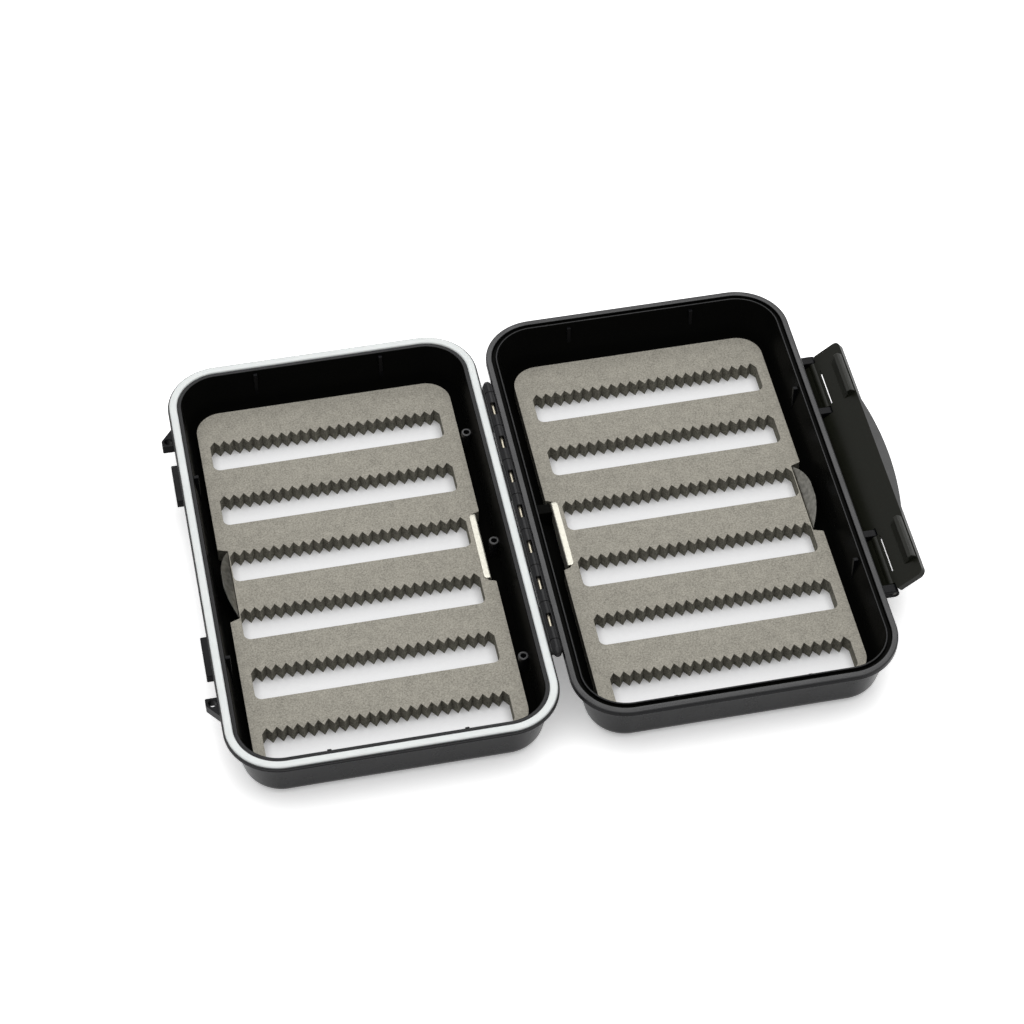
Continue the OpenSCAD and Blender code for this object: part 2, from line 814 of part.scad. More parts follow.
module in_lid() {
    translate([2 * hinge_x, 0, half_high]) mirror([1, 0, 0]) children();
}

// Turns an outer part to the hinge side and back
module outer_side() {
    mirror([1, 0, 0]) children();
}

module base_carrier_sheet() {
    color("gainsboro") in_base() carrier_sheet();
}

module base_backing_foam() {
    color("white") in_base() backing_foam();
}

module base_toothed_foam() {
    color("darkgray") in_base() toothed_foam();
}

module base_pull_tab() {
    color("silver") in_base() outer_side() pull_tab();
}

module base_retaining_lip() {
    color("silver") in_base() retaining_lip();
}

module base_magnet_outer() {
    color("silver") in_base() outer_side() magnet();
}

module base_magnet_hinge() {
    color("silver") in_base() magnet();
}

module lid_carrier_sheet() {
    color("gainsboro") in_lid() carrier_sheet();
}

module lid_backing_foam() {
    color("white") in_lid() backing_foam();
}

module lid_toothed_foam() {
    color("darkgray") in_lid() toothed_foam();
}

module lid_pull_tab() {
    color("silver") in_lid() outer_side() pull_tab();
}

module lid_retaining_lip() {
    color("silver") in_lid() retaining_lip();
}

module lid_magnet_outer() {
    color("silver") in_lid() outer_side() magnet();
}

module lid_magnet_hinge() {
    color("silver") in_lid() magnet();
}

base_shell();
lid_shell();
seal_ring();
hinge_pin();
latch();
latch_pin_far();
latch_pin_near();
base_carrier_sheet();
base_backing_foam();
base_toothed_foam();
base_pull_tab();
base_retaining_lip();
base_magnet_outer();
base_magnet_hinge();
lid_carrier_sheet();
lid_backing_foam();
lid_toothed_foam();
lid_pull_tab();
lid_retaining_lip();
lid_magnet_outer();
lid_magnet_hinge();
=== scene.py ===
"""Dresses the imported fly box: two moulded shells on a pinned hinge, seal, snap latch and two foam inserts."""

import logging
import math
from collections.abc import Sequence
from dataclasses import dataclass
from enum import Enum

import bmesh
import bpy
from mathutils import Matrix, Vector


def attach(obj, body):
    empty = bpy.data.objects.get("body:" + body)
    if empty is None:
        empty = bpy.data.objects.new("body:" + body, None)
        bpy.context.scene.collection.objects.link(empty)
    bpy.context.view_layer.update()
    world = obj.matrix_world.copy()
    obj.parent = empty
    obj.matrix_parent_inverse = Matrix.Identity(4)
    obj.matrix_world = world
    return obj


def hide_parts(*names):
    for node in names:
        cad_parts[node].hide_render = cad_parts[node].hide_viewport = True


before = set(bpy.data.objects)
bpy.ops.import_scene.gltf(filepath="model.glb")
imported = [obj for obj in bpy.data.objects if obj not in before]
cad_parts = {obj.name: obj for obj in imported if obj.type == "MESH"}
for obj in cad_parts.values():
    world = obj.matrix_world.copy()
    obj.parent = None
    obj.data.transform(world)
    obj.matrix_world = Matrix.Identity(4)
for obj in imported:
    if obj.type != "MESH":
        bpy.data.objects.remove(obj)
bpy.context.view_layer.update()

LOG = logging.getLogger("fly_box")
MM = 0.001
# Faces that meet at less than this are joined after a cut
LEVEL_DEG = 0.5
# A rounding over up to this much turn is shaded smooth, whatever its number of steps
ROUNDED_DEG = 100.0

Point = tuple[float, float]
Corner = tuple[float, float, float]
Colour = tuple[float, float, float]
Socket = bpy.types.NodeSocket


# ---------------------------------------------------------------- sizes of the case


@dataclass(frozen=True)
class CaseSizes:
    """The sizes that several sub-assemblies share, in millimetres of one half."""

    rim_x: float = 45.85
    rim_y: float = 75.0
    corner_r: float = 15.4
    half_high: float = 19.0
    floor_t: float = 1.5
    flange_t: float = 2.0
    wall_top: float = 13.7
    wall_lean: float = 12.0
    bottom_r: float = 7.5
    outside_r: float = 6.2
    lid_drop: float = 0.05
    base_drop: float = 0.5
    hinge_out: float = 1.5

    @property
    def corner_x(self) -> float:
        """Distance from the middle to a corner's centre, across the half."""
        return self.rim_x - self.corner_r

    @property
    def corner_y(self) -> float:
        """Distance from the middle to a corner's centre, along the half."""
        return self.rim_y - self.corner_r

    @property
    def hinge_x(self) -> float:
        """Distance from a half's middle to the hinge axis."""
        return self.rim_x + self.hinge_out

    @property
    def bottom_z(self) -> float:
        """Height of the flat outside under the closing plane."""
        return -self.half_high

    @property
    def inside_z(self) -> float:
        """Height of the flat inside under the closing plane."""
        return self.floor_t - self.half_high

    @property
    def arc_z(self) -> float:
        """Height of the centre of the wall's lower arcs."""
        return self.bottom_z + self.bottom_r

    @property
    def inside_r(self) -> float:
        """Radius of the wall's inner lower arc."""
        return self.bottom_r - self.floor_t

    @property
    def wall_top_z(self) -> float:
        """Height at which the outer wall meets the flange."""
        return -self.lid_drop - self.flange_t

    @property
    def arc_in(self) -> float:
        """Distance of the arcs' centre from the line of the corner centres."""
        lean = math.radians(self.wall_lean)
        run = (self.wall_top_z - self.arc_z) * math.tan(lean)
        return self.wall_top - run - self.bottom_r / math.cos(lean)

    def outer_at(self, z: float) -> float:
        """Distance of the straight outer wall at a height."""
        return self.wall_top + (z - self.wall_top_z) * math.tan(math.radians(self.wall_lean))

    def inner_lean(self, opening: float) -> float:
        """Lean in radians of the inner wall that reaches an opening at the closing plane."""
        out, up = opening - self.arc_in, -self.arc_z
        return math.atan2(out, up) - math.asin(self.inside_r / math.hypot(out, up))

    def inner_at(self, opening: float, z: float) -> float:
        """Distance of the straight inner wall at a height."""
        return opening + z * math.tan(self.inner_lean(opening))

    def floor_edge(self, z: float) -> float:
        """Distance of the inner arc at a height near the floor."""
        return self.arc_in + math.sqrt(self.inside_r ** 2 - (z - self.arc_z) ** 2)


SIZES = CaseSizes()


class Half(Enum):
    """One half of the open case, named as its nodes are."""

    BASE = "base"
    LID = "lid"

    @property
    def insert_body(self) -> str:
        """The body that carries this half's lift-out insert."""
        return f"{self.value}_insert"

    @property
    def place(self) -> Matrix:
        """The step from millimetres about the half's middle to metres in the case."""
        turned = self is Half.LID
        shift = 2 * SIZES.hinge_x if turned else 0.0
        scale = Matrix.Diagonal((-MM if turned else MM, MM, MM, 1.0))
        return Matrix.Translation((shift * MM, 0.0, SIZES.half_high * MM)) @ scale


# ---------------------------------------------------------------- drawing outlines


def rounded(corners: Sequence[Corner], closed: bool = False, step: float = 12.0) -> list[Point]:
    """Rounds the corners of an outline.

    Args:
        corners: Points as (first, second, radius); a radius of 0 keeps the point sharp.
        closed: Whether the last corner joins the first.
        step: Degrees of turn for each piece of an arc.

    Returns:
        The points of the rounded outline in order.
    """
    points: list[Point] = []
    count = len(corners)
    for i, (x, y, radius) in enumerate(corners):
        if radius <= 0 or (not closed and i in (0, count - 1)):
            points.append((x, y))
            continue
        here = Vector((x, y))
        before = (Vector(corners[i - 1][:2]) - here).normalized()
        after = (Vector(corners[(i + 1) % count][:2]) - here).normalized()
        between = before.angle(after)
        turn = math.pi - between
        if turn < 1e-4:
            points.append((x, y))
            continue
        reach = radius / math.tan(between / 2)
        centre = here + (before + after).normalized() * (radius / math.sin(between / 2))
        start, end = here + before * reach - centre, here + after * reach - centre
        pieces = max(2, math.ceil(math.degrees(turn) / step))
        sign = 1.0 if start.x * end.y - start.y * end.x > 0 else -1.0
        for k in range(pieces + 1):
            a = sign * turn * k / pieces
            ca, sa = math.cos(a), math.sin(a)
            points.append(tuple(centre + Vector((start.x * ca - start.y * sa, start.x * sa + start.y * ca))))
    return points


def circle(x: float, y: float, radius: float, count: int = 40) -> list[Point]:
    """The points of a circle."""
    return [
        (x + radius * math.cos(2 * math.pi * k / count), y + radius * math.sin(2 * math.pi * k / count))
        for k in range(count)
    ]


class Plane(Enum):
    """The plane that an outline is drawn in; the solid grows along the third axis."""

    FLAT = "xy"
    END_ON = "xz"
    SIDE_ON = "yz"

    def point(self, at: Point, height: float) -> Vector:
        """A point of the outline, lifted to a height along the third axis."""
        if self is Plane.FLAT:
            return Vector((at[0], at[1], height))
        if self is Plane.END_ON:
            return Vector((at[0], height, at[1]))
        return Vector((height, at[0], at[1]))


# ---------------------------------------------------------------- drawing solids


class Draft:
    """A mesh in the making, in millimetres about the middle of one half."""

    def __init__(self) -> None:
        """Starts empty."""
        self.cells = bmesh.new()

    @classmethod
    def of(cls, thing: bpy.types.Object, *helpers: bpy.types.Object) -> "Draft":
        """A draft of an object with its modifiers in it.

        Args:
            thing: A throw-away object, which is used up.
            helpers: Throw-away objects that its modifiers read, which are used up too.

        Returns:
            The draft.
        """
        mesh = evaluated_mesh(thing)
        draft = cls()
        draft.cells.from_mesh(mesh)
        for data in (mesh, thing.data, *(helper.data for helper in helpers)):
            bpy.data.meshes.remove(data)
        return draft

    def grid(
        self, rows: Sequence[Sequence[Vector]], wrap_rows: bool, wrap_columns: bool, cap: bool = False,
    ) -> None:
        """Adds a sheet of quads.

        Args:
            rows: Points, all rows of one length.
            wrap_rows: Whether the last row joins the first.
            wrap_columns: Whether each row closes on itself.
            cap: Whether the first and the last row are filled.
        """
        made = [[self.cells.verts.new(p) for p in row] for row in rows]
        count, width = len(made), len(made[0])
        for i in range(count if wrap_rows else count - 1):
            for j in range(width if wrap_columns else width - 1):
                here, there = made[i], made[(i + 1) % count]
                k = (j + 1) % width
                self.cells.faces.new((here[j], here[k], there[k], there[j]))
        if cap:
            self.cells.faces.new(made[0])
            self.cells.faces.new(list(reversed(made[-1])))

    def round_rim(self, profile: Sequence[Point], closed: bool, turns: int = 24) -> None:
        """Takes a profile round the four sides and corners of a half.

        Args:
            profile: Points as distance out from the corner centres, and height.
            closed: Whether the profile is a loop; an open one is capped at both ends.
            turns: Pieces for each corner.
        """
        steps = []
        for quarter, (sx, sy) in enumerate(((1, 1), (-1, 1), (-1, -1), (1, -1))):
            for k in range(turns + 1):
                a = math.radians(90 * (quarter + k / turns))
                steps.append((sx * SIZES.corner_x, sy * SIZES.corner_y, math.cos(a), math.sin(a)))
        rows = [[Vector((cx + d * ca, cy + d * sa, z)) for cx, cy, ca, sa in steps] for d, z in profile]
        self.grid(rows, wrap_rows=closed, wrap_columns=True, cap=not closed)

    def prism(
        self,
        outline: Sequence[Point],
        low: float,
        high: float,
        plane: Plane = Plane.FLAT,
        holes: Sequence[Sequence[Point]] = (),
    ) -> None:
        """Adds a straight solid with a drawn outline.

        Args:
            outline: The outer points.
            low: Where the solid starts along the third axis.
            high: Where it ends.
            plane: The plane of the outline.
            holes: Outlines of openings that go right through.
        """
        loops = [[self.cells.verts.new(plane.point(p, low)) for p in loop] for loop in (outline, *holes)]
        if holes:
            edges = [self.cells.edges.new((loop[i - 1], loop[i])) for loop in loops for i in range(len(loop))]
            filled = bmesh.ops.triangle_fill(self.cells, edges=edges, use_beauty=True)["geom"]
            faces = [g for g in filled if isinstance(g, bmesh.types.BMFace)]
        else:
            faces = [self.cells.faces.new(loops[0])]
        grown = bmesh.ops.extrude_face_region(self.cells, geom=faces, use_keep_orig=True)["geom"]
        tops = [g for g in grown if isinstance(g, bmesh.types.BMVert)]
        bmesh.ops.translate(self.cells, verts=tops, vec=plane.point((0.0, 0.0), high - low))

    def box(self, low: Sequence[float], high: Sequence[float]) -> None:
        """Adds a block between two corners, for a bevel to round."""
        outline = [(low[0], low[1]), (high[0], low[1]), (high[0], high[1]), (low[0], high[1])]
        self.prism(outline, low[2], high[2])

    def cut(self, tool: "Draft", way: str = "DIFFERENCE") -> "Draft":
        """Takes another solid away from this one, or unites both.

        Args:
            tool: What is taken away or added; it may be many solids that don't overlap.
            way: DIFFERENCE or UNION.

        Returns:
            A new draft of the result.
        """
        body, blade = self.as_object("cut_body"), tool.as_object("cut_blade")
        modifier = body.modifiers.new("Cut", "BOOLEAN")
        modifier.operation, modifier.solver, modifier.object = way, "EXACT", blade
        left = Draft.of(body, blade)
        cells, level = left.cells, math.radians(LEVEL_DEG)
        bmesh.ops.dissolve_limit(cells, angle_limit=level, verts=cells.verts, edges=cells.edges)
        return left

    def face_out(self) -> None:
        """Turns all faces outwards, each closed shell by itself."""
        bmesh.ops.recalc_face_normals(self.cells, faces=self.cells.faces)
        self.cells.normal_update()
        left = set(self.cells.faces)
        while left:
            shell, waiting = [], [left.pop()]
            while waiting:
                face = waiting.pop()
                shell.append(face)
                beside = {other for edge in face.edges for other in edge.link_faces} & left
                left -= beside
                waiting += beside
            if sum(face.calc_area() * face.normal.dot(face.verts[0].co) for face in shell) < 0:
                bmesh.ops.reverse_faces(self.cells, faces=shell)

    def as_object(self, name: str) -> bpy.types.Object:
        """Makes an object of the draft, which is used up."""
        self.face_out()
        mesh = bpy.data.meshes.new(name)
        self.cells.to_mesh(mesh)
        self.cells.free()
        thing = bpy.data.objects.new(name, mesh)
        bpy.context.scene.collection.objects.link(thing)
        return thing


def evaluated_mesh(thing: bpy.types.Object) -> bpy.types.Mesh:
    """The plain mesh of an object with its modifiers in it."""
    graph = bpy.context.evaluated_depsgraph_get()
    return bpy.data.meshes.new_from_object(thing.evaluated_get(graph))


def apply_modifiers(piece: bpy.types.Object) -> None:
    """Makes a piece's modifiers part of its mesh."""
    before = piece.data
    piece.data = evaluated_mesh(piece)
    piece.modifiers.clear()
    bpy.data.meshes.remove(before)
    piece.data.name = piece.name


def shade_smooth(piece: bpy.types.Object, sharp_deg: float) -> None:
    """Shades a piece smooth, apart from its edges from an angle on."""
    piece.data.shade_smooth()
    piece.data.set_sharp_from_angle(angle=math.radians(sharp_deg))


@dataclass(frozen=True)
class Edges:
    """How a piece's edges are finished.

    Attributes:
        round_mm: Width of the rounding, or 0 for none.
        segments: Steps across the rounding.
        sharp_deg: Angle from which an edge is rounded and shaded sharp.
        marked: Whether only the edges that the draft marked are rounded.
    """

    round_mm: float = 0.15
    segments: int = 2
    sharp_deg: float = 32.0
    marked: bool = False


@dataclass(frozen=True)
class Standing:
    """Where a piece belongs.

    Attributes:
        body: The body that it rides on.
        nodes: The CAD nodes that it stands for.
        slot: The name of the material slot that it belongs to; it is not used.
        place: The step from the draft's millimetres to metres in the case.
    """

    body: str
    nodes: tuple[str, ...]
    slot: str
    place: Matrix


def make_piece(
    name: str, draft: Draft, standing: Standing, finish: "Finish", edges: Edges,
) -> bpy.types.Object:
    """Turns a draft into a finished piece of the object.

    Args:
        name: Name of the piece.
        draft: The solid, which is used up.
        standing: Body, nodes, slot and place.
        finish: The material.
        edges: How the edges are finished.

    Returns:
        The new object, which rides on its body.
    """
    draft.cells.transform(standing.place)
    piece = draft.as_object(name)
    shade_smooth(piece, edges.sharp_deg)
    if edges.round_mm > 0:
        bevel = piece.modifiers.new("Round", "BEVEL")
        bevel.width = edges.round_mm * MM
        bevel.segments = edges.segments
        bevel.limit_method = "WEIGHT" if edges.marked else "ANGLE"
        bevel.angle_limit = math.radians(edges.sharp_deg)
        bevel.use_clamp_overlap = True
        bevel.harden_normals = False
        bevel.miter_outer = "MITER_ARC"
        apply_modifiers(piece)
        shade_smooth(piece, max(edges.sharp_deg, ROUNDED_DEG / (edges.segments + 1)))
        piece.modifiers.new("Keep flats flat", "WEIGHTED_NORMAL").keep_sharp = True
        apply_modifiers(piece)
    return settle(piece, standing, finish)


def settle(piece: bpy.types.Object, standing: Standing, finish: "Finish") -> bpy.types.Object:
    """Dresses a piece, sets it on its body and reports it."""
    piece.data.materials.clear()
    piece.data.materials.append(finish.material())
    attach(piece, standing.body)
    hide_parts(*standing.nodes)
    LOG.info("piece %s on %s: %d faces", piece.name, standing.body, len(piece.data.polygons))
    return piece


# ---------------------------------------------------------------- node trees for what repeats


class Bench:
    """Where the nodes of one tree are laid out and joined."""

    def __init__(self, tree: bpy.types.NodeTree) -> None:
        """Starts on a tree."""
        self.tree = tree

    def node(self, kind: str, **settings: object) -> bpy.types.Node:
        """Adds a node and sets its properties."""
        made = self.tree.nodes.new(kind)
        for key, value in settings.items():
            setattr(made, key, value)
        return made

    def link(self, source: Socket, target: Socket) -> None:
        """Joins two sockets."""
        self.tree.links.new(source, target)

    def links(self, *pairs: tuple[Socket, Socket]) -> None:
        """Joins each pair of sockets."""
        for source, target in pairs:
            self.link(source, target)

    def between(self, source: Socket, low: float, high: float, frm: float = 0.0, to: float = 1.0) -> Socket:
        """Turns a value that runs between frm and to into one that runs between low and high."""
        level = self.node("ShaderNodeMapRange")
        for name, value in (("From Min", frm), ("From Max", to), ("To Min", low), ("To Max", high)):
            level.inputs[name].default_value = value
        self.link(source, level.inputs["Value"])
        return level.outputs["Result"]


class Tree(Bench):
    """A geometry tree in the making, with named inputs."""

    def __init__(self, name: str, **inputs: str) -> None:
        """Starts a tree that takes and gives a geometry.

        Args:
            name: Name of the tree.
            inputs: Its other inputs, each with its socket kind, such as Int or Vector.
        """
        super().__init__(bpy.data.node_groups.new(name, "GeometryNodeTree"))
        face = self.tree.interface
        face.new_socket("Geometry", in_out="INPUT", socket_type="NodeSocketGeometry")
        face.new_socket("Geometry", in_out="OUTPUT", socket_type="NodeSocketGeometry")
        for label, kind in (*inputs.items(), ("Finish", "Material")):
            face.new_socket(label, in_out="INPUT", socket_type=f"NodeSocket{kind}")
        self.inputs = self.node("NodeGroupInput").outputs
        self.output = self.node("NodeGroupOutput").inputs[0]

    def end(self, geometry: Socket) -> None:
        """Ends the tree in Realize Instances and Set Material."""
        realize = self.node("GeometryNodeRealizeInstances")
        dress = self.node("GeometryNodeSetMaterial")
        self.links(
            (geometry, realize.inputs["Geometry"]),
            (realize.outputs["Geometry"], dress.inputs["Geometry"]),
            (self.inputs["Finish"], dress.inputs["Material"]),
            (dress.outputs["Geometry"], self.output),
        )

    def copies(self, thing: str, count: str, start: str, step: str) -> Socket:
        """Lays copies of an input object along a line.

        Args:
            thing: Name of the input that holds the object.
            count: Name of the input with the number of copies.
            start: Name of the input with the place of the first.
            step: Name of the input with the step to the next.

        Returns:
            The socket that gives the copies.
        """
        info = self.node("GeometryNodeObjectInfo", transform_space="ORIGINAL")
        line = self.node("GeometryNodeMeshLine", mode="OFFSET")
        lay = self.node("GeometryNodeInstanceOnPoints")
        self.links(
            (self.inputs[thing], info.inputs["Object"]),
            (self.inputs[count], line.inputs["Count"]),
            (self.inputs[start], line.inputs["Start Location"]),
            (self.inputs[step], line.inputs["Offset"]),
            (line.outputs["Mesh"], lay.inputs["Points"]),
            (info.outputs["Geometry"], lay.inputs["Instance"]),
        )
        return lay.outputs["Instances"]

    def run(self, on: bpy.types.Object, finish: "Finish", **values: object) -> Draft:
        """Runs the tree on an object.

        Args:
            on: The object whose mesh goes in, which is used up.
            finish: The material that the tree sets.
            values: What each other input is set to; the objects among them are used up.

        Returns:
            A draft of what comes out.
        """
        values["Finish"] = finish.material()
        modifier = on.modifiers.new("Tree", "NODES")
        modifier.node_group = self.tree
        for item in self.tree.interface.items_tree:
            if item.in_out == "INPUT" and item.name in values:
                modifier[item.identifier] = values[item.name]
        return Draft.of(on, *(value for value in values.values() if isinstance(value, bpy.types.Object)))


def row_tree() -> Tree:
    """A tree that repeats one object along a line."""
    tree = Tree("row_of_copies", Copy="Object", Count="Int", Start="Vector", Step="Vector")
    tree.end(tree.copies("Copy", "Count", "Start", "Step"))
    return tree


def slotted_sheet_tree() -> Tree:
    """A tree that fills an outline, leaves a row of slots open in it and gives it a thickness."""
    tree = Tree("slotted_sheet", Slot="Object", Rows="Int", FirstRow="Vector", RowStep="Vector",
                Underside="Vector", Thickness="Float")
    slots = tree.node("GeometryNodeRealizeInstances")
    tree.link(tree.copies("Slot", "Rows", "FirstRow", "RowStep"), slots.inputs["Geometry"])
    join = tree.node("GeometryNodeJoinGeometry")
    for source in (tree.inputs["Geometry"], slots.outputs["Geometry"]):
        to_curve = tree.node("GeometryNodeMeshToCurve")
        tree.link(source, to_curve.inputs["Mesh"])
        tree.link(to_curve.outputs["Curve"], join.inputs["Geometry"])
    fill = tree.node("GeometryNodeFillCurve")
    lift = tree.node("GeometryNodeSetPosition")
    grow = tree.node("GeometryNodeExtrudeMesh", mode="FACES")
    grow.inputs["Individual"].default_value = False
    under = tree.node("GeometryNodeFlipFaces")
    both = tree.node("GeometryNodeJoinGeometry")
    merge = tree.node("GeometryNodeMergeByDistance")
    merge.inputs["Distance"].default_value = 1e-4
    tree.links(
        (join.outputs["Geometry"], fill.inputs["Curve"]),
        (fill.outputs["Mesh"], lift.inputs["Geometry"]),
        (tree.inputs["Underside"], lift.inputs["Offset"]),
        (lift.outputs["Geometry"], grow.inputs["Mesh"]),
        (tree.inputs["Thickness"], grow.inputs["Offset Scale"]),
        (lift.outputs["Geometry"], under.inputs["Mesh"]),
        (grow.outputs["Mesh"], both.inputs["Geometry"]),
        (under.outputs["Mesh"], both.inputs["Geometry"]),
        (both.outputs["Geometry"], merge.inputs["Geometry"]),
    )
    tree.end(merge.outputs["Geometry"])
    return tree


@dataclass(frozen=True)
class Row:
    """A row of equal features.

    Attributes:
        count: How many there are.
        start: Place of the first, in millimetres.
        step: Step to the next, in millimetres.
    """

    count: int
    start: tuple[float, float, float]
    step: tuple[float, float, float]

    def draft(self, tree: Tree, one: Draft, finish: "Finish") -> Draft:
        """Lays the row out.

        Args:
            tree: The tree that repeats an object.
            one: One feature about its own origin, which is used up.
            finish: The material that the tree sets.

        Returns:
            A draft of the whole row.
        """
        pattern, carrier = one.as_object("one_of_row"), Draft().as_object("row_carrier")
        return tree.run(carrier, finish, Copy=pattern, Count=self.count, Start=self.start, Step=self.step)


# ---------------------------------------------------------------- finishes


class Shader(Bench):
    """The nodes of one material, with the shader that they lead to."""

    def __init__(self, name: str) -> None:
        """Starts a material with one shader."""
        self.material = bpy.data.materials.new(name)
        self.material.use_nodes = True
        super().__init__(self.material.node_tree)
        self.shader = self.tree.nodes["Principled BSDF"]
        self.place = self.node("ShaderNodeTexCoord").outputs["Object"]

    def value(self, name: str, value: float | Sequence[float]) -> None:
        """Sets one of the shader's own sockets."""
        self.shader.inputs[name].default_value = value

    def drive(self, name: str, source: Socket) -> None:
        """Lets another node drive one of the shader's sockets."""
        self.link(source, self.shader.inputs[name])

    def noise(
        self, grain_mm: float, detail: float = 2.0, stretch: Sequence[float] = (1.0, 1.0, 1.0),
    ) -> Socket:
        """A noise with grains of a size.

        Args:
            grain_mm: Size of one grain.
            detail: How much finer noise it carries.
            stretch: How much longer the grain is along each axis.

        Returns:
            The noise from 0 to 1.
        """
        mapping = self.node("ShaderNodeMapping")
        mapping.inputs["Scale"].default_value = tuple(1.0 / s for s in stretch)
        noise = self.node("ShaderNodeTexNoise", noise_dimensions="3D")
        noise.inputs["Scale"].default_value = 1.0 / (grain_mm * MM)
        noise.inputs["Detail"].default_value = detail
        self.link(self.place, mapping.inputs["Vector"])
        self.link(mapping.outputs["Vector"], noise.inputs["Vector"])
        return noise.outputs["Fac"]

    def vary_roughness(self, source: Socket, low: float, high: float) -> None:
        """Lets a noise vary the roughness between low and high."""
        self.drive("Roughness", self.between(source, low, high, 0.3, 0.7))

    def paint(self, source: Socket, stops: Sequence[tuple[float, Colour]]) -> None:
        """Lets a value choose the colour.

        Args:
            source: The value.
            stops: Positions from 0 to 1, each with its colour.
        """
        ramp = self.node("ShaderNodeValToRGB")
        bar = ramp.color_ramp
        while len(bar.elements) < len(stops):
            bar.elements.new(0.5)
        for element, (position, colour) in zip(bar.elements, stops):
            element.position = position
            element.color = (*colour, 1.0)
        self.link(source, ramp.inputs["Fac"])
        self.drive("Base Color", ramp.outputs["Color"])

    def bump(self, source: Socket, depth_mm: float, under: Socket | None = None) -> Socket:
        """Turns a height into a shading normal, over another one if it is given."""
        bump = self.node("ShaderNodeBump")
        bump.inputs["Strength"].default_value = 1.0
        bump.inputs["Distance"].default_value = depth_mm * MM
        self.link(source, bump.inputs["Height"])
        if under is not None:
            self.link(under, bump.inputs["Normal"])
        self.drive("Normal", bump.outputs["Normal"])
        return bump.outputs["Normal"]


def shade(colour: Colour, by: float) -> Colour:
    """A lighter or darker step of a colour."""
    return tuple(min(1.0, c * by) for c in colour)


MADE: dict[str, bpy.types.Material] = {}


@dataclass(frozen=True)
class Finish:
    """A finish with a name and a main colour; each kind lays out its own nodes."""

    name: str
    colour: Colour
    roughness: float

    def material(self) -> bpy.types.Material:
        """The material, made once."""
        if self.name not in MADE:
            shader = Shader(self.name)
            shader.material.diffuse_color = (*self.colour, 1.0)
            self.lay_out(shader)
            MADE[self.name] = shader.material
        return MADE[self.name]

    def lay_out(self, shader: Shader) -> None:
        """Lays the nodes out, as each kind of finish does in its own way."""
        raise NotImplementedError(self.name)


@dataclass(frozen=True)
class Moulded(Finish):
    """Dark moulded plastic with the fine eroded grain of its tool, a little worn."""

    grain_mm: float = 0.22
    grain_deep_mm: float = 0.006
    gloss: float = 0.35
    cloud_mm: float = 9.0
    dust_mm: float = 0.5
    wave_mm: float = 14.0
    wave_deep_mm: float = 0.02

    def lay_out(self, shader: Shader) -> None:
        """Fine grain, slow changes of gloss and a faint dust in the colour."""
        cloud = shader.noise(self.cloud_mm, 3.0)
        dust = shader.noise(self.dust_mm, 4.0)
        worn, dusty = shade(self.colour, 0.85), shade(self.colour, 1.5)
        shader.paint(dust, ((0.3, worn), (0.62, self.colour), (0.8, dusty)))
        shader.vary_roughness(cloud, self.roughness - 0.04, self.roughness + 0.05)
        shader.value("IOR", 1.5)
        shader.value("Specular IOR Level", self.gloss)
        waves = shader.bump(shader.noise(self.wave_mm, 1.0), self.wave_deep_mm)
        shader.bump(shader.noise(self.grain_mm, 2.0), self.grain_deep_mm, waves)


@dataclass(frozen=True)
class ClosedCellFoam(Finish):
    """Closed-cell foam, speckled by its cells."""

    cell_mm: float = 0.5
    cell_deep_mm: float = 0.04
    speckle: float = 0.42
    cloud_mm: float = 3.2
    cloud_share: float = 0.12

    def lay_out(self, shader: Shader) -> None:
        """Cells and fibres in the colour and as small dents."""
        cells = shader.node("ShaderNodeTexVoronoi", feature="F1")
        cells.inputs["Scale"].default_value = 2.0 / (self.cell_mm * MM)
        fine = shader.noise(self.cell_mm, 5.0)
        fine.node.inputs["Roughness"].default_value = 0.85
        blend = shader.node("ShaderNodeMix", data_type="FLOAT")
        blend.inputs["Factor"].default_value = self.cloud_share
        shader.links(
            (shader.place, cells.inputs["Vector"]),
            (fine, blend.inputs["A"]),
            (shader.noise(self.cloud_mm, 2.0), blend.inputs["B"]),
        )
        stops = (
            (0.36, shade(self.colour, 1.0 - self.speckle)),
            (0.5, self.colour),
            (0.64, shade(self.colour, 1.0 + self.speckle)),
        )
        shader.paint(blend.outputs["Result"], stops)
        shader.value("Roughness", self.roughness)
        shader.value("Specular IOR Level", 0.2)
        dents = shader.bump(cells.outputs["Distance"], self.cell_deep_mm)
        shader.bump(fine, self.cell_deep_mm * 0.6, dents)


@dataclass(frozen=True)
class SealRubber(Finish):
    """White rubber with a soft gloss and a faint waviness along its run."""

    cloud_mm: float = 6.0
    gloss_mm: float = 1.4
    wave_mm: float = 2.6
    wave_deep_mm: float = 0.05

    def lay_out(self, shader: Shader) -> None:
        """Slow waves, faint clouds in the colour and a soft gloss."""
        cloud = shader.noise(self.cloud_mm, 3.0)
        shader.paint(cloud, ((0.35, shade(self.colour, 0.96)), (0.65, self.colour)))
        shader.vary_roughness(shader.noise(self.gloss_mm, 2.0), self.roughness - 0.06, self.roughness + 0.08)
        shader.value("Subsurface Weight", 0.08)
        shader.value("Subsurface Radius", (0.0012, 0.0011, 0.001))
        shader.value("Subsurface Scale", 0.6)
        shader.bump(shader.noise(self.wave_mm, 1.0), self.wave_deep_mm)


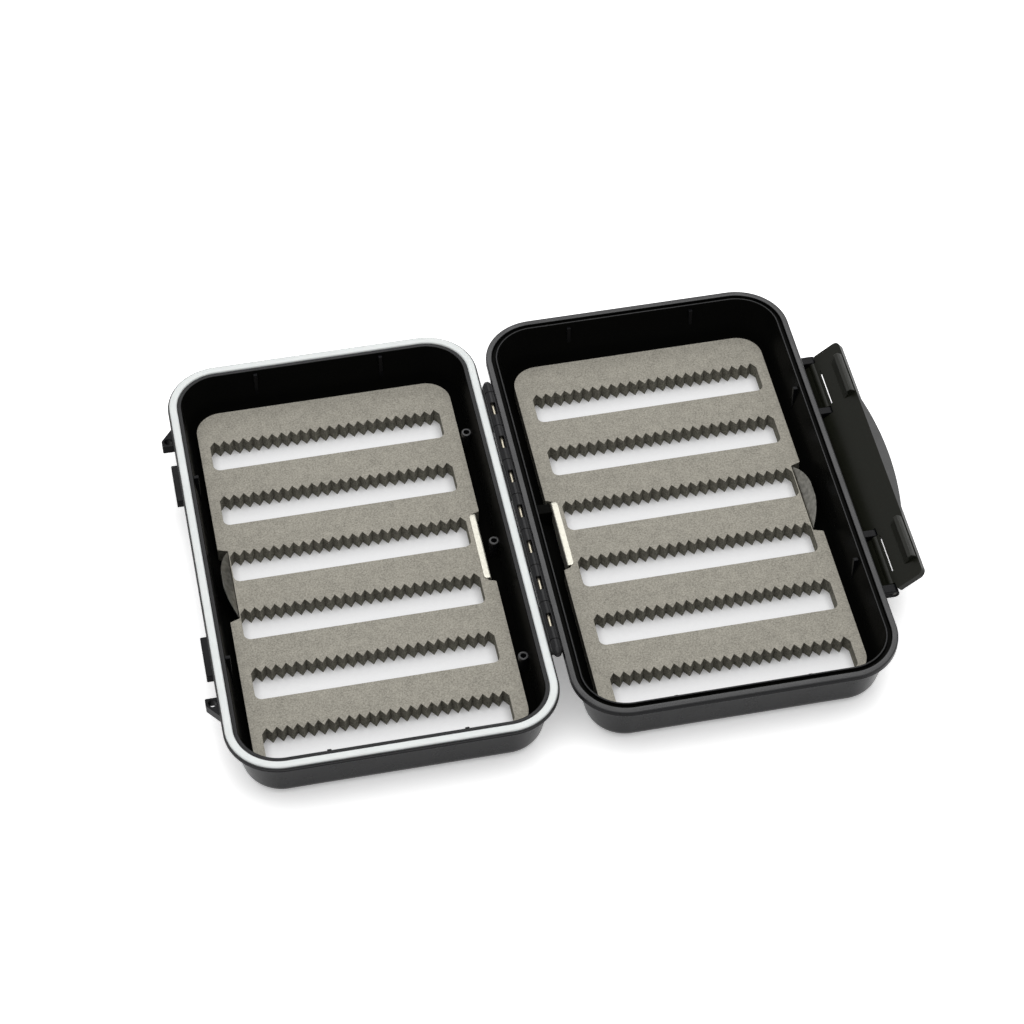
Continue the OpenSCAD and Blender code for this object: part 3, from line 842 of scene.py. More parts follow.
@dataclass(frozen=True)
class RolledSteel(Finish):
    """Bright steel with fine lines along the way it was rolled or drawn."""

    line: tuple[float, float, float] = (1.0, 14.0, 1.0)
    line_mm: float = 0.09
    haze_mm: float = 3.5
    haze: float = 0.1
    line_deep_mm: float = 0.002

    def lay_out(self, shader: Shader) -> None:
        """Fine long lines in the gloss and a faint handling haze."""
        lines = shader.noise(self.line_mm, 3.0, self.line)
        haze = shader.noise(self.haze_mm, 3.0)
        dark, bright = shade(self.colour, 1.0 - self.haze), shade(self.colour, 1.0 + self.haze / 2)
        shader.paint(haze, ((0.3, dark), (0.7, bright)))
        shader.vary_roughness(lines, self.roughness - 0.05, self.roughness + 0.08)
        shader.value("Metallic", 1.0)
        shader.bump(lines, self.line_deep_mm)


BLACK_SHELL = Moulded("black_moulding", (0.0055, 0.0055, 0.0065), 0.26, gloss=0.07)
# Painted highlight: a lighter copy of the moulding for the rim's upward outer faces and the ring bosses, with
# more gloss for the lamps' own reflection
RIM_HIGHLIGHT = Moulded("black_rim", (0.008, 0.008, 0.009), 0.26, gloss=0.38)
# Painted highlight: a lighter, glossier copy of the moulding for the inner lip's upward faces, the hinge
# knuckles and their ends
LIP_HIGHLIGHT = Moulded("black_inner_lip", (0.008, 0.008, 0.009), 0.26, gloss=0.16)
# Painted shade: a darker, nearly unreflecting copy of the moulding for the hollow, the groove, the inner lip's
# edge and the lid's stop
HOLLOW_SHADE = Moulded("black_hollow", (0.0042, 0.0042, 0.0038), 0.28, gloss=0.008, grain_deep_mm=0.001)
BLACK_LATCH = Moulded("black_latch", (0.008, 0.0085, 0.0055), 0.36, grain_mm=0.26, gloss=0.14)
# Painted highlight: a lighter, glossier copy of the latch's moulding for the hook ribs
HOOK_HIGHLIGHT = Moulded("black_latch_hook", (0.012, 0.0125, 0.009), 0.36, grain_mm=0.26, gloss=0.27)
# Painted reflection: a lighter, glossier copy of the latch's moulding for the thumb tab, with a coarser grain
THUMB_TAB_REFLECTION = Moulded(
    "black_thumb_tab", (0.022, 0.022, 0.022), 0.5, grain_mm=0.3, grain_deep_mm=0.012, gloss=0.6,
)
GREY_FOAM = ClosedCellFoam("grey_cell_foam", (0.345, 0.327, 0.28), 0.92)
# Painted shade: a darker copy of the grey foam for all its upright walls, with coarser cells
FOAM_WALL_SHADE = ClosedCellFoam("cut_cell_foam", (0.155, 0.148, 0.12), 0.95, cell_mm=0.6, speckle=0.6)
WHITE_FOAM = ClosedCellFoam("white_cell_foam", (0.93, 0.932, 0.94), 0.8, cell_deep_mm=0.008, speckle=0.02)
WHITE_RUBBER = SealRubber("white_seal_rubber", (0.80, 0.83, 0.82), 0.42)
LIP_STEEL = RolledSteel("satin_lip_steel", (0.56, 0.545, 0.48), 0.52, haze=0.1, haze_mm=1.0)
# Painted shade: a darker copy of the lip's steel for the pull tab's leaning blade, with its own rolling lines
# and handling stains
SHADED_TAB_STEEL = RolledSteel(
    "dull_tab_steel", (0.25, 0.243, 0.22), 0.34, line=(1.0, 30.0, 1.0), line_mm=0.2, haze=0.35, haze_mm=1.3,
)
PIN_STEEL = RolledSteel("drawn_pin_steel", (0.42, 0.385, 0.31), 0.36, line=(1.0, 20.0, 1.0))
# Painted shade: a dark copy of the pin steel for the latch pins, which sit in the latch's shadow
SHADED_LATCH_PIN = RolledSteel("dark_pin_steel", (0.06, 0.06, 0.055), 0.4, line=(1.0, 20.0, 1.0))
NICKEL = RolledSteel("nickel_plating", (0.66, 0.65, 0.63), 0.22, line=(6.0, 6.0, 1.0))
CARRIER = Moulded("grey_carrier_sheet", (0.55, 0.56, 0.57), 0.5, grain_mm=0.4)


# ---------------------------------------------------------------- sub-assemblies


@dataclass
class CaseShell:
    """One moulded shell: the wall with its rim, ribs, bosses, lugs and catches or latch bosses."""

    half: Half
    opening: float
    drop: float
    groove_out: float
    groove_in: float
    groove_deep: float
    # Width past the opening where the inner lip takes the hollow's painted shade
    lip_shade_width: float = 0.12
    middle: float = 2.0
    wall_fillet_r: float = 0.3
    flange_r: float = 0.4
    inner_lip_r: float = 0.22
    room_r: float = 1.85
    rib_out: float = 1.6
    end_rib_out: float = 1.15
    rib_w: float = 1.2
    rib_drop: float = 1.4
    rib_long_at: float = 33.6
    rib_end_at: float = 18.7
    magnet_at: float = 30.2
    pocket_r: float = 3.55
    magnet_t: float = 0.9

    @property
    def groove_z(self) -> float:
        """Height of the rim groove's bottom."""
        return -self.drop - self.groove_deep

    def rim(self) -> list[Corner]:
        """The rim's profile from its outer edge to the groove's inner edge, as each half shapes it."""
        raise NotImplementedError(self.half)

    def standing(self) -> Standing:
        """The shell's body, node and slot."""
        return Standing(self.half.value, (f"{self.half.value}_shell",), "shell", self.half.place)

    def wall(self) -> Draft:
        """The wall and floor, drawn as one profile and taken round the rim."""
        s = SIZES
        corners: list[Corner] = [
            (self.middle, s.bottom_z, 0.0),
            (s.outer_at(s.bottom_z), s.bottom_z, s.outside_r),
            (s.wall_top, s.wall_top_z, self.wall_fillet_r),
            (s.corner_r, s.wall_top_z, self.flange_r),
            *self.rim(),
            (s.inner_at(self.opening, -self.drop), -self.drop, self.inner_lip_r),
            (s.inner_at(self.opening, s.inside_z), s.inside_z, s.inside_r),
            (self.middle, s.inside_z, 0.0),
        ]
        draft = Draft()
        draft.round_rim(rounded(corners, step=9.0), closed=False)
        return draft

    def blades(self, rooms: Sequence[tuple[float, float]]) -> Draft:
        """What is cut from the wall.

        Args:
            rooms: Lengths along the hinge where the other half's knuckles turn.

        Returns:
            The cutting solids, none of which overlap.
        """
        draft = Draft()
        for low, high in rooms:
            draft.prism(circle(SIZES.hinge_x, 0.0, self.room_r, 48), low, high, Plane.END_ON)
        for side in (-1, 1):
            pocket = circle(side * self.magnet_at, 0.0, self.pocket_r, 64)
            draft.prism(pocket, SIZES.inside_z - self.magnet_t, SIZES.inside_z + 1.0)
        return draft

    def paint_rim_light_and_hollow_shade(self, piece: bpy.types.Object) -> None:
        """Paints shade on the hollow, the rim's groove and the inner lip's edge with a darker, nearly
        unreflecting copy of the moulding, and a highlight on the upward faces of the rim's two lips with
        lighter, glossier copies.
        """
        for finish in (HOLLOW_SHADE, RIM_HIGHLIGHT, LIP_HIGHLIGHT):
            piece.data.materials.append(finish.material())
        inside, outer_lip, inner_lip = 1, 2, 3
        s, hair, near, clear, level = SIZES, 0.02, 0.1, 0.3, 0.3
        back = self.half.place.inverted()
        spots = [back @ v.co for v in piece.data.vertices]
        reach = [math.hypot(max(abs(p.x) - s.corner_x, 0.0), max(abs(p.y) - s.corner_y, 0.0)) for p in spots]
        for face in piece.data.polygons:
            z = sum(spots[v].z for v in face.vertices) / len(face.vertices)
            out = sum(reach[v] for v in face.vertices) / len(face.vertices)
            in_groove = z > s.wall_top_z + near and out < self.groove_out + hair
            lip_edge = z > s.wall_top_z and out < self.opening + self.lip_shade_width
            upward = z > s.wall_top_z + clear and abs(face.normal.z) > level
            # Faces of the hollow, the groove and the inner lip's edge take the painted shade
            if lip_edge or z < -self.drop - near and (in_groove or out < self.inner_limit(z)):
                face.material_index = inside
            # Upward faces of both lips take the painted highlight
            elif upward:
                face.material_index = outer_lip if out > self.groove_out - near else inner_lip

    def inner_limit(self, z: float) -> float:
        """A distance out from the corner centres between the wall's two faces at a height."""
        s, under_floor, into_arc, into_wall = SIZES, 0.2, 0.5, 0.25
        if z < s.inside_z - under_floor:
            return 0.0
        if z < s.arc_z:
            return s.floor_edge(max(z, s.inside_z)) + into_arc
        return s.inner_at(self.opening, z) + into_wall

    def against_wall(self, face: float, low: float, high: float, sunk: float = 0.7) -> list[Point]:
        """The side view of something moulded on the inner wall.

        Args:
            face: Distance of its own face from the corner centres.
            low: Height of its lower end.
            high: Height of its upper end.
            sunk: How far it reaches into the wall.

        Returns:
            The outline as distance out from the corner centres, and height.
        """
        s = SIZES
        steps = 12
        heights = [high + (low - high) * k / steps for k in range(steps + 1)]
        inside = [s.inner_at(self.opening, z) if z >= s.arc_z else s.floor_edge(z) for z in heights]
        return [(face, low), (face, high), *((d + sunk, z) for d, z in zip(inside, heights))]

    def ribs(self) -> Draft:
        """The small upright ribs on the long outer wall and on both end walls."""
        s, w = SIZES, self.rib_w / 2
        draft = Draft()
        side_view, end_view = (
            self.against_wall(self.opening - out, s.arc_z, -self.rib_drop)
            for out in (self.rib_out, self.end_rib_out)
        )
        for side in (-1, 1):
            at, end_at = side * self.rib_long_at, side * self.rib_end_at
            draft.prism([(-s.corner_x - d, z) for d, z in side_view], at - w, at + w, Plane.END_ON)
            for end in (-1, 1):
                outline = [(end * (s.corner_y + d), z) for d, z in end_view]
                draft.prism(outline, end_at - w, end_at + w, Plane.SIDE_ON)
        return draft


@dataclass
class Hinge:
    """The nine knuckles, their webs and the windows over the pin."""

    step: float = 13.45
    gap: float = 0.2
    radius: float = 1.6
    bore: float = 0.65
    half_len: float = 52.0
    taper: float = 1.6
    window_len: float = 4.8
    window_w: float = 1.5
    web_sunk: float = 0.22
    tip_sunk: float = 0.2
    tips: tuple[Point, ...] = ((0.15, 0.86), (0.0, 0.7))
    middle: int = 7
    arc_steps: int = 30

    def joint(self, index: float) -> float:
        """Place of the gap before a middle knuckle, along the hinge."""
        return (index - self.middle / 2) * self.step

    def rooms(self, first: int) -> list[tuple[float, float]]:
        """Lengths that the knuckles counted by twos from first take up."""
        return [(self.joint(i), self.joint(i + 1)) for i in range(first, self.middle, 2)]

    def end_rooms(self) -> list[tuple[float, float]]:
        """Lengths that both end knuckles take up."""
        far = self.joint(self.middle)
        return [(far, self.half_len + 1.0), (-self.half_len - 1.0, -far)]

    def outline(self) -> list[Point]:
        """The end view of a knuckle with its web, about the hinge axis."""
        root, top = -SIZES.hinge_out - self.web_sunk, -SIZES.base_drop
        start = math.asin(top / self.radius)
        step = (1.5 * math.pi - start) / self.arc_steps
        arc = [
            (self.radius * math.cos(a), self.radius * math.sin(a))
            for a in (math.pi - start - k * step for k in range(self.arc_steps + 1))
        ]
        return [*arc, (root, -self.radius), (root, top)]

    def knuckle(self, windowed: bool, low: float, high: float) -> Draft:
        """One knuckle between two lengths, hollow for the pin."""
        draft = Draft()
        draft.prism(self.outline(), low, high, Plane.END_ON)
        blade = Draft()
        blade.prism(circle(0.0, 0.0, self.bore, 24), low - 1.0, high + 1.0, Plane.END_ON)
        draft = draft.cut(blade)
        if windowed:
            slot = Draft()
            mid, half_w, half_l = (low + high) / 2, self.window_w / 2, self.window_len / 2
            slot.box((-half_w, mid - half_l, 0.0), (half_w, mid + half_l, self.radius + 1.0))
            draft = draft.cut(slot)
        return draft

    def row(self, tree: Tree, first: int) -> Draft:
        """The middle knuckles of one half, repeated along the pin."""
        length = self.step - self.gap
        one = self.knuckle(True, -length / 2, length / 2)
        count = len(range(first, self.middle, 2))
        start = (SIZES.hinge_x, self.joint(first + 0.5), 0.0)
        return Row(count, start, (0.0, 2 * self.step, 0.0)).draft(tree, one, LIP_HIGHLIGHT)

    def end(self, side: int) -> Draft:
        """One end knuckle with its tapered tip."""
        low, high = self.joint(self.middle) + self.gap / 2, self.half_len - self.taper
        draft = self.knuckle(False, low, high)
        rings = [(high - self.tip_sunk, self.radius), (high, self.radius)]
        rings += [(self.half_len - back, radius) for back, radius in self.tips]
        rows = [[Vector((x, length, z)) for x, z in circle(0.0, 0.0, radius)] for length, radius in rings]
        draft.grid(rows, wrap_rows=False, wrap_columns=True, cap=True)
        bmesh.ops.transform(draft.cells, matrix=Matrix.Diagonal((1, side, 1, 1)), verts=draft.cells.verts)
        bmesh.ops.translate(draft.cells, verts=draft.cells.verts, vec=(SIZES.hinge_x, 0.0, 0.0))
        return draft

    def build(self, tree: Tree, shells: dict[Half, CaseShell]) -> None:
        """Makes the knuckles of both halves and dresses the pin."""
        edges = Edges(0.14)
        for half, first in ((Half.BASE, 0), (Half.LID, 1)):
            row = self.row(tree, first)
            make_piece(f"{half.value}_knuckles", row, shells[half].standing(), LIP_HIGHLIGHT, edges)
        for side, word in ((1, "far"), (-1, "near")):
            make_piece(f"hinge_end_{word}", self.end(side), shells[Half.BASE].standing(), LIP_HIGHLIGHT, edges)
        dress_node("hinge_pin", PIN_STEEL)


def dress_node(node: str, finish: Finish) -> None:
    """Gives a CAD node that stays a better material."""
    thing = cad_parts[node]
    if not thing.material_slots:
        thing.data.materials.append(finish.material())
    for place in thing.material_slots:
        place.material = finish.material()
    LOG.info("node %s keeps its shape, finish %s", node, finish.name)


@dataclass
class BaseHalf(CaseShell):
    """The base's shell with ring bosses, lugs and catches."""

    half: Half = Half.BASE
    opening: float = 11.45
    drop: float = SIZES.base_drop
    groove_out: float = 14.95
    groove_in: float = 12.65
    groove_deep: float = 1.3
    lip_shade_width: float = 0.4
    step_in: float = 15.22
    step_z: float = -1.0
    boss_x: float = 39.5
    boss_step: float = 42.7
    boss_r: float = 1.55
    boss_hole_r: float = 0.8
    boss_hole_deep: float = 4.0
    boss_drop: float = 9.5
    flange_drop: float = 1.4
    lug_low: float = 4.1
    lug_in: float = 46.8
    lug_out: float = 3.25
    lug_sunk: float = 1.1
    lug_len: float = 2.3
    lug_slope: float = 5.5
    lug_hole: tuple[float, float, float] = (1.35, 1.8, 1.2)
    catch_low: float = 4.2
    catch_in: float = 25.3
    catch_len: float = 13.9
    catch_out: float = 1.75
    catch_sunk: float = 2.2

    def rim(self) -> list[Corner]:
        """A small step, the outer lip and the seal's groove."""
        top, low = -self.drop, self.groove_z
        return [
            (SIZES.corner_r, self.step_z, 0.14), (self.step_in, self.step_z, 0.05), (self.step_in, top, 0.12),
            (self.groove_out, top, 0.04), (self.groove_out, low, 0.0), (self.groove_in, low, 0.0),
            (self.groove_in, top, 0.15),
        ]

    def foot(self, x: float) -> float:
        """Height in the middle of the curved wall, from a boss's top and at a distance from its axis."""
        s = SIZES
        over = self.boss_x + x - s.corner_x - s.arc_in
        return s.arc_z - math.sqrt(((s.bottom_r + s.inside_r) / 2) ** 2 - over ** 2) + self.boss_drop

    def bosses(self, tree: Tree) -> Draft:
        """The three ring bosses beside the hinge, turned as one profile, with feet that end in the wall."""
        hole_z = -self.boss_hole_deep
        profile = rounded(
            [(0.0, hole_z, 0.0), (self.boss_hole_r, hole_z, 0.0), (self.boss_hole_r, 0.0, 0.12),
             (self.boss_r, 0.0, 0.2), (self.boss_r, -1.0, 0.0)], step=25.0)
        one = Draft()
        rows = [[Vector((x, y, z)) for x, y in circle(0.0, 0.0, max(r, 0.001), 36)] for r, z in profile]
        rows.append([Vector((x, y, self.foot(x))) for x, y in circle(0.0, 0.0, self.boss_r, 36)])
        one.grid(rows, wrap_rows=False, wrap_columns=True, cap=True)
        start = (self.boss_x, -self.boss_step, -self.boss_drop)
        return Row(3, start, (0.0, self.boss_step, 0.0)).draft(tree, one, RIM_HIGHLIGHT)

    def lugs(self) -> Draft:
        """The two cord lugs with their holes."""
        draft = Draft()
        out, root, tip = SIZES.rim_x + self.lug_out, SIZES.rim_x - self.lug_sunk, self.lug_in + self.lug_len
        hole_out, hole_in, hole_r = self.lug_hole
        outline = rounded([
            (-root, self.lug_in, 0.0), (-out, self.lug_in, 0.45), (-out, tip, 0.7),
            (-root, tip + self.lug_slope, 0.0),
        ], closed=True, step=18.0)
        hole = circle(-SIZES.rim_x - hole_out, self.lug_in + hole_in, hole_r, 32)
        for side in (-1, 1):
            lug, bore = ([(x, side * y) for x, y in loop] for loop in (outline, hole))
            draft.prism(lug, -self.lug_low, -self.flange_drop, holes=[bore])
        return draft

    def catches(self) -> Draft:
        """The two catches that the latch hooks over."""
        draft = Draft()
        for side in (-1, 1):
            ends = sorted((side * self.catch_in, side * (self.catch_in + self.catch_len)))
            draft.box(
                (-SIZES.rim_x - self.catch_out, ends[0], -self.catch_low),
                (-SIZES.rim_x + self.catch_sunk, ends[1], -self.flange_drop),
            )
        return draft

    def build(self, tree: Tree, hinge: Hinge) -> None:
        """Makes every piece of the base's shell."""
        standing = self.standing()
        wall = self.wall().cut(self.blades(hinge.rooms(1)))
        self.paint_rim_light_and_hollow_shade(make_piece("base_wall", wall, standing, BLACK_SHELL, Edges(round_mm=0.0)))
        make_piece("base_ribs", self.ribs(), standing, BLACK_SHELL, Edges(0.18, 3))
        make_piece("base_ring_bosses", self.bosses(tree), standing, RIM_HIGHLIGHT, Edges(round_mm=0.0))
        make_piece("base_lugs", self.lugs(), standing, BLACK_SHELL, Edges(0.25, 3))
        make_piece("base_catches", self.catches(), standing, BLACK_SHELL, Edges(0.3, 3))


@dataclass
class LidHalf(CaseShell):
    """The lid's shell with the latch bosses and the small stop."""

    half: Half = Half.LID
    opening: float = 11.95
    drop: float = SIZES.lid_drop
    groove_out: float = 13.65
    groove_in: float = 12.45
    groove_deep: float = 1.2
    pin_out: float = 3.75
    pin_drop: float = 3.95
    barrel_r: float = 1.3
    arm_sunk: float = 2.2
    boss_spans: tuple[tuple[float, float], ...] = ((23.0, 25.4), (43.4, 46.2))
    pin_bore: float = 0.55
    stop_in: float = 36.7
    stop_span: tuple[float, float] = (8.4, 12.0)
    stop_drop: float = 11.0
    stop_lift: float = 0.3

    def rim(self) -> list[Corner]:
        """The broad outer lip and the groove that the seal's lip presses in."""
        top, low = -self.drop, self.groove_z
        return [
            (SIZES.corner_r, top, 0.4), (self.groove_out, top, 0.2), (self.groove_out, low, 0.2),
            (self.groove_in, low, 0.2), (self.groove_in, top, 0.12),
        ]

    def latch_bosses(self) -> Draft:
        """The four bosses that hold the latch's pins."""
        draft = Draft()
        x, r = -SIZES.rim_x - self.pin_out, self.barrel_r
        arm = x + self.pin_out + self.arm_sunk
        outline = [(x + r * math.cos(a), -self.pin_drop + r * math.sin(a))
                   for a in (math.pi / 2 + math.pi * k / 20 for k in range(21))]
        outline += [(arm, -self.pin_drop - r), (arm, -self.pin_drop + r)]
        hole = circle(x, -self.pin_drop, self.pin_bore, 24)
        for side in (-1, 1):
            for near, far in self.boss_spans:
                low, high = sorted((side * near, side * far))
                draft.prism(outline, low, high, Plane.END_ON, holes=[hole])
        return draft

    def stop(self) -> Draft:
        """The small stop beside the retaining lip."""
        draft = Draft()
        foot_z = SIZES.inside_z + self.stop_lift
        side_view = self.against_wall(self.stop_in - SIZES.corner_x, foot_z, -self.stop_drop)
        draft.prism([(SIZES.corner_x + d, z) for d, z in side_view], *self.stop_span, Plane.END_ON)
        return draft

    def build(self, hinge: Hinge) -> None:
        """Makes every piece of the lid's shell."""
        standing = self.standing()
        wall = self.wall().cut(self.blades([*hinge.rooms(0), *hinge.end_rooms()]))
        self.paint_rim_light_and_hollow_shade(make_piece("lid_wall", wall, standing, BLACK_SHELL, Edges(round_mm=0.0)))
        make_piece("lid_ribs", self.ribs(), standing, BLACK_SHELL, Edges(0.18, 3))
        make_piece("lid_latch_bosses", self.latch_bosses(), standing, BLACK_SHELL, Edges(0.2, 3))
        make_piece("lid_stop", self.stop(), standing, HOLLOW_SHADE, Edges(0.3, 3))


@dataclass
class RimSeal:
    """The white rubber seal in the base's rim."""

    outer: float = 14.91
    inner: float = 12.69
    low: float = -1.8
    high: float = -0.05
    edge_r: float = 0.5

    def build(self) -> None:
        """Makes the seal as one rounded profile taken round the rim."""
        profile = rounded(
            [(self.inner, self.low, 0.1), (self.outer, self.low, 0.1), (self.outer, self.high, self.edge_r),
             (self.inner, self.high, self.edge_r)], closed=True, step=15.0)
        draft = Draft()
        draft.round_rim(profile, closed=True)
        standing = Standing("base", ("seal_ring",), "seal", Half.BASE.place)
        make_piece("rim_seal", draft, standing, WHITE_RUBBER, Edges(round_mm=0.0))


@dataclass
class FoamInsert:
    """One lift-out insert: toothed foam on its white backing."""

    half: Half
    foam_t: float = 4.5
    backing_t: float = 1.0
    carrier_gap: float = 0.1
    carrier_t: float = 0.5
    side_gap: float = 0.65
    end_gap: float = 1.4
    shift: float = 0.35
    corner_r: float = 7.5
    row_step: float = 21.45
    row_shift: float = 1.47
    rows: int = 6
    slot_shift: float = 0.6
    slot_w: float = 11.36
    slot_corner_r: float = 2.0
    notch_step: float = 2.85
    notch_deep: float = 1.95
    notches: int = 24
    steel_notch_half: float = 12.6
    steel_notch_in: float = 2.5
    steel_notch_flare: float = 0.32
    steel_notch_r: float = 0.5

    @property
    def backing_z(self) -> float:
        """Height of the backing's underside."""
        return SIZES.inside_z + self.carrier_gap + self.carrier_t

    @property
    def foam_z(self) -> float:
        """Height of the toothed foam's underside."""
        return self.backing_z + self.backing_t

    @property
    def notch_at(self) -> float:
        """Distance from the half's middle to the bottom of a notch for the steel parts."""
        return SIZES.corner_x + SIZES.floor_edge(self.foam_z) - self.side_gap - self.steel_notch_in

    def outline(self, z: float) -> list[Point]:
        """The outline of a layer whose underside is at a height, with the notches for the steel parts."""
        half_x = SIZES.corner_x + SIZES.floor_edge(z) - self.side_gap
        half_y = SIZES.corner_y + SIZES.floor_edge(z) - self.end_gap
        low, high = -half_x - self.shift, half_x - self.shift
        r, wide, tight = self.corner_r, self.steel_notch_half, self.steel_notch_r
        right = self.notch_at
        flare_r = wide + self.steel_notch_flare * (high - right)
        flare_l = wide + self.steel_notch_flare * (-right - low)
        return rounded([
            (high, -half_y, r), (high, -flare_r, tight), (right, -wide, tight), (right, wide, tight),
            (high, flare_r, tight), (high, half_y, r), (low, half_y, r), (low, flare_l, tight),
            (-right, wide, tight), (-right, -wide, tight), (low, -flare_l, tight), (low, -half_y, r),
        ], closed=True, step=6.0)

    def slot_outline(self) -> list[Point]:
        """One slot: a straight near side with round corners and a row of notches on the far side."""
        length, r = self.notches * self.notch_step, self.slot_corner_r
        tips = self.slot_w - self.notch_deep
        half = length / 2
        near = rounded([(-half, tips, 0.0), (-half, 0.0, r), (half, 0.0, r), (half, tips, 0.0)], step=8.0)
        zigzag: list[Point] = []
        for i in range(self.notches):
            x = half - i * self.notch_step
            zigzag += [(x - self.notch_step / 2, self.slot_w), (x - self.notch_step, tips)]
        return near + zigzag[:-1]

    def loop(self, points: Sequence[Point], name: str) -> bpy.types.Object:
        """An object that is only a closed line of edges."""
        draft = Draft()
        verts = [draft.cells.verts.new((x, y, 0.0)) for x, y in points]
        for i in range(len(verts)):
            draft.cells.edges.new((verts[i - 1], verts[i]))
        return draft.as_object(name)

    def toothed(self, tree: Tree) -> Draft:
        """The grey foam: the outline filled, six slots left open, and its top edges marked for rounding."""
        carrier = self.loop(self.outline(self.foam_z), "foam_outline")
        slot = self.loop(self.slot_outline(), "slot_outline")
        last = self.row_shift - (self.rows - 1) / 2 * self.row_step - self.slot_w
        draft = tree.run(
            carrier, GREY_FOAM, Slot=slot, Rows=self.rows,
            FirstRow=(-self.shift - self.slot_shift, last, 0.0),
            RowStep=(0.0, self.row_step, 0.0), Underside=(0.0, 0.0, self.foam_z), Thickness=self.foam_t)
        cells = draft.cells
        weight = cells.edges.layers.float.new("bevel_weight_edge")
        top = self.foam_z + self.foam_t - 0.01
        for edge in cells.edges:
            flat = [abs(face.normal.z) > 0.5 for face in edge.link_faces]
            if all(v.co.z > top for v in edge.verts) and len(flat) == 2 and flat[0] != flat[1]:
                edge[weight] = 1.0
        return draft

    def paint_foam_wall_shade(self, piece: bpy.types.Object) -> None:
        """Paints shade on every upright wall of the grey foam with a darker copy of the foam, whose coarser
        speckle stands for the cut's open cells.
        """
        piece.data.materials.append(FOAM_WALL_SHADE.material())
        for face in piece.data.polygons:
            if abs(face.normal.z) < 0.2:
                face.material_index = 1

    def backing(self) -> Draft:
        """The smooth white foam under the slots."""
        draft = Draft()
        draft.prism(self.outline(self.backing_z), self.backing_z, self.foam_z)
        return draft

    def build(self, tree: Tree) -> None:
        """Makes the insert's foam layers and dresses its carrier sheet."""
        word = self.half.value
        for part, draft, finish, edges in (
            ("toothed_foam", self.toothed(tree), GREY_FOAM, Edges(0.16, 2, marked=True)),
            ("backing_foam", self.backing(), WHITE_FOAM, Edges(0.2, 2)),
        ):
            node = f"{word}_{part}"
            standing = Standing(self.half.insert_body, (node,), part, self.half.place)
            piece = make_piece(f"{node}_piece", draft, standing, finish, edges)
            if finish is GREY_FOAM:
                self.paint_foam_wall_shade(piece)
        dress_node(f"{word}_carrier_sheet", CARRIER)


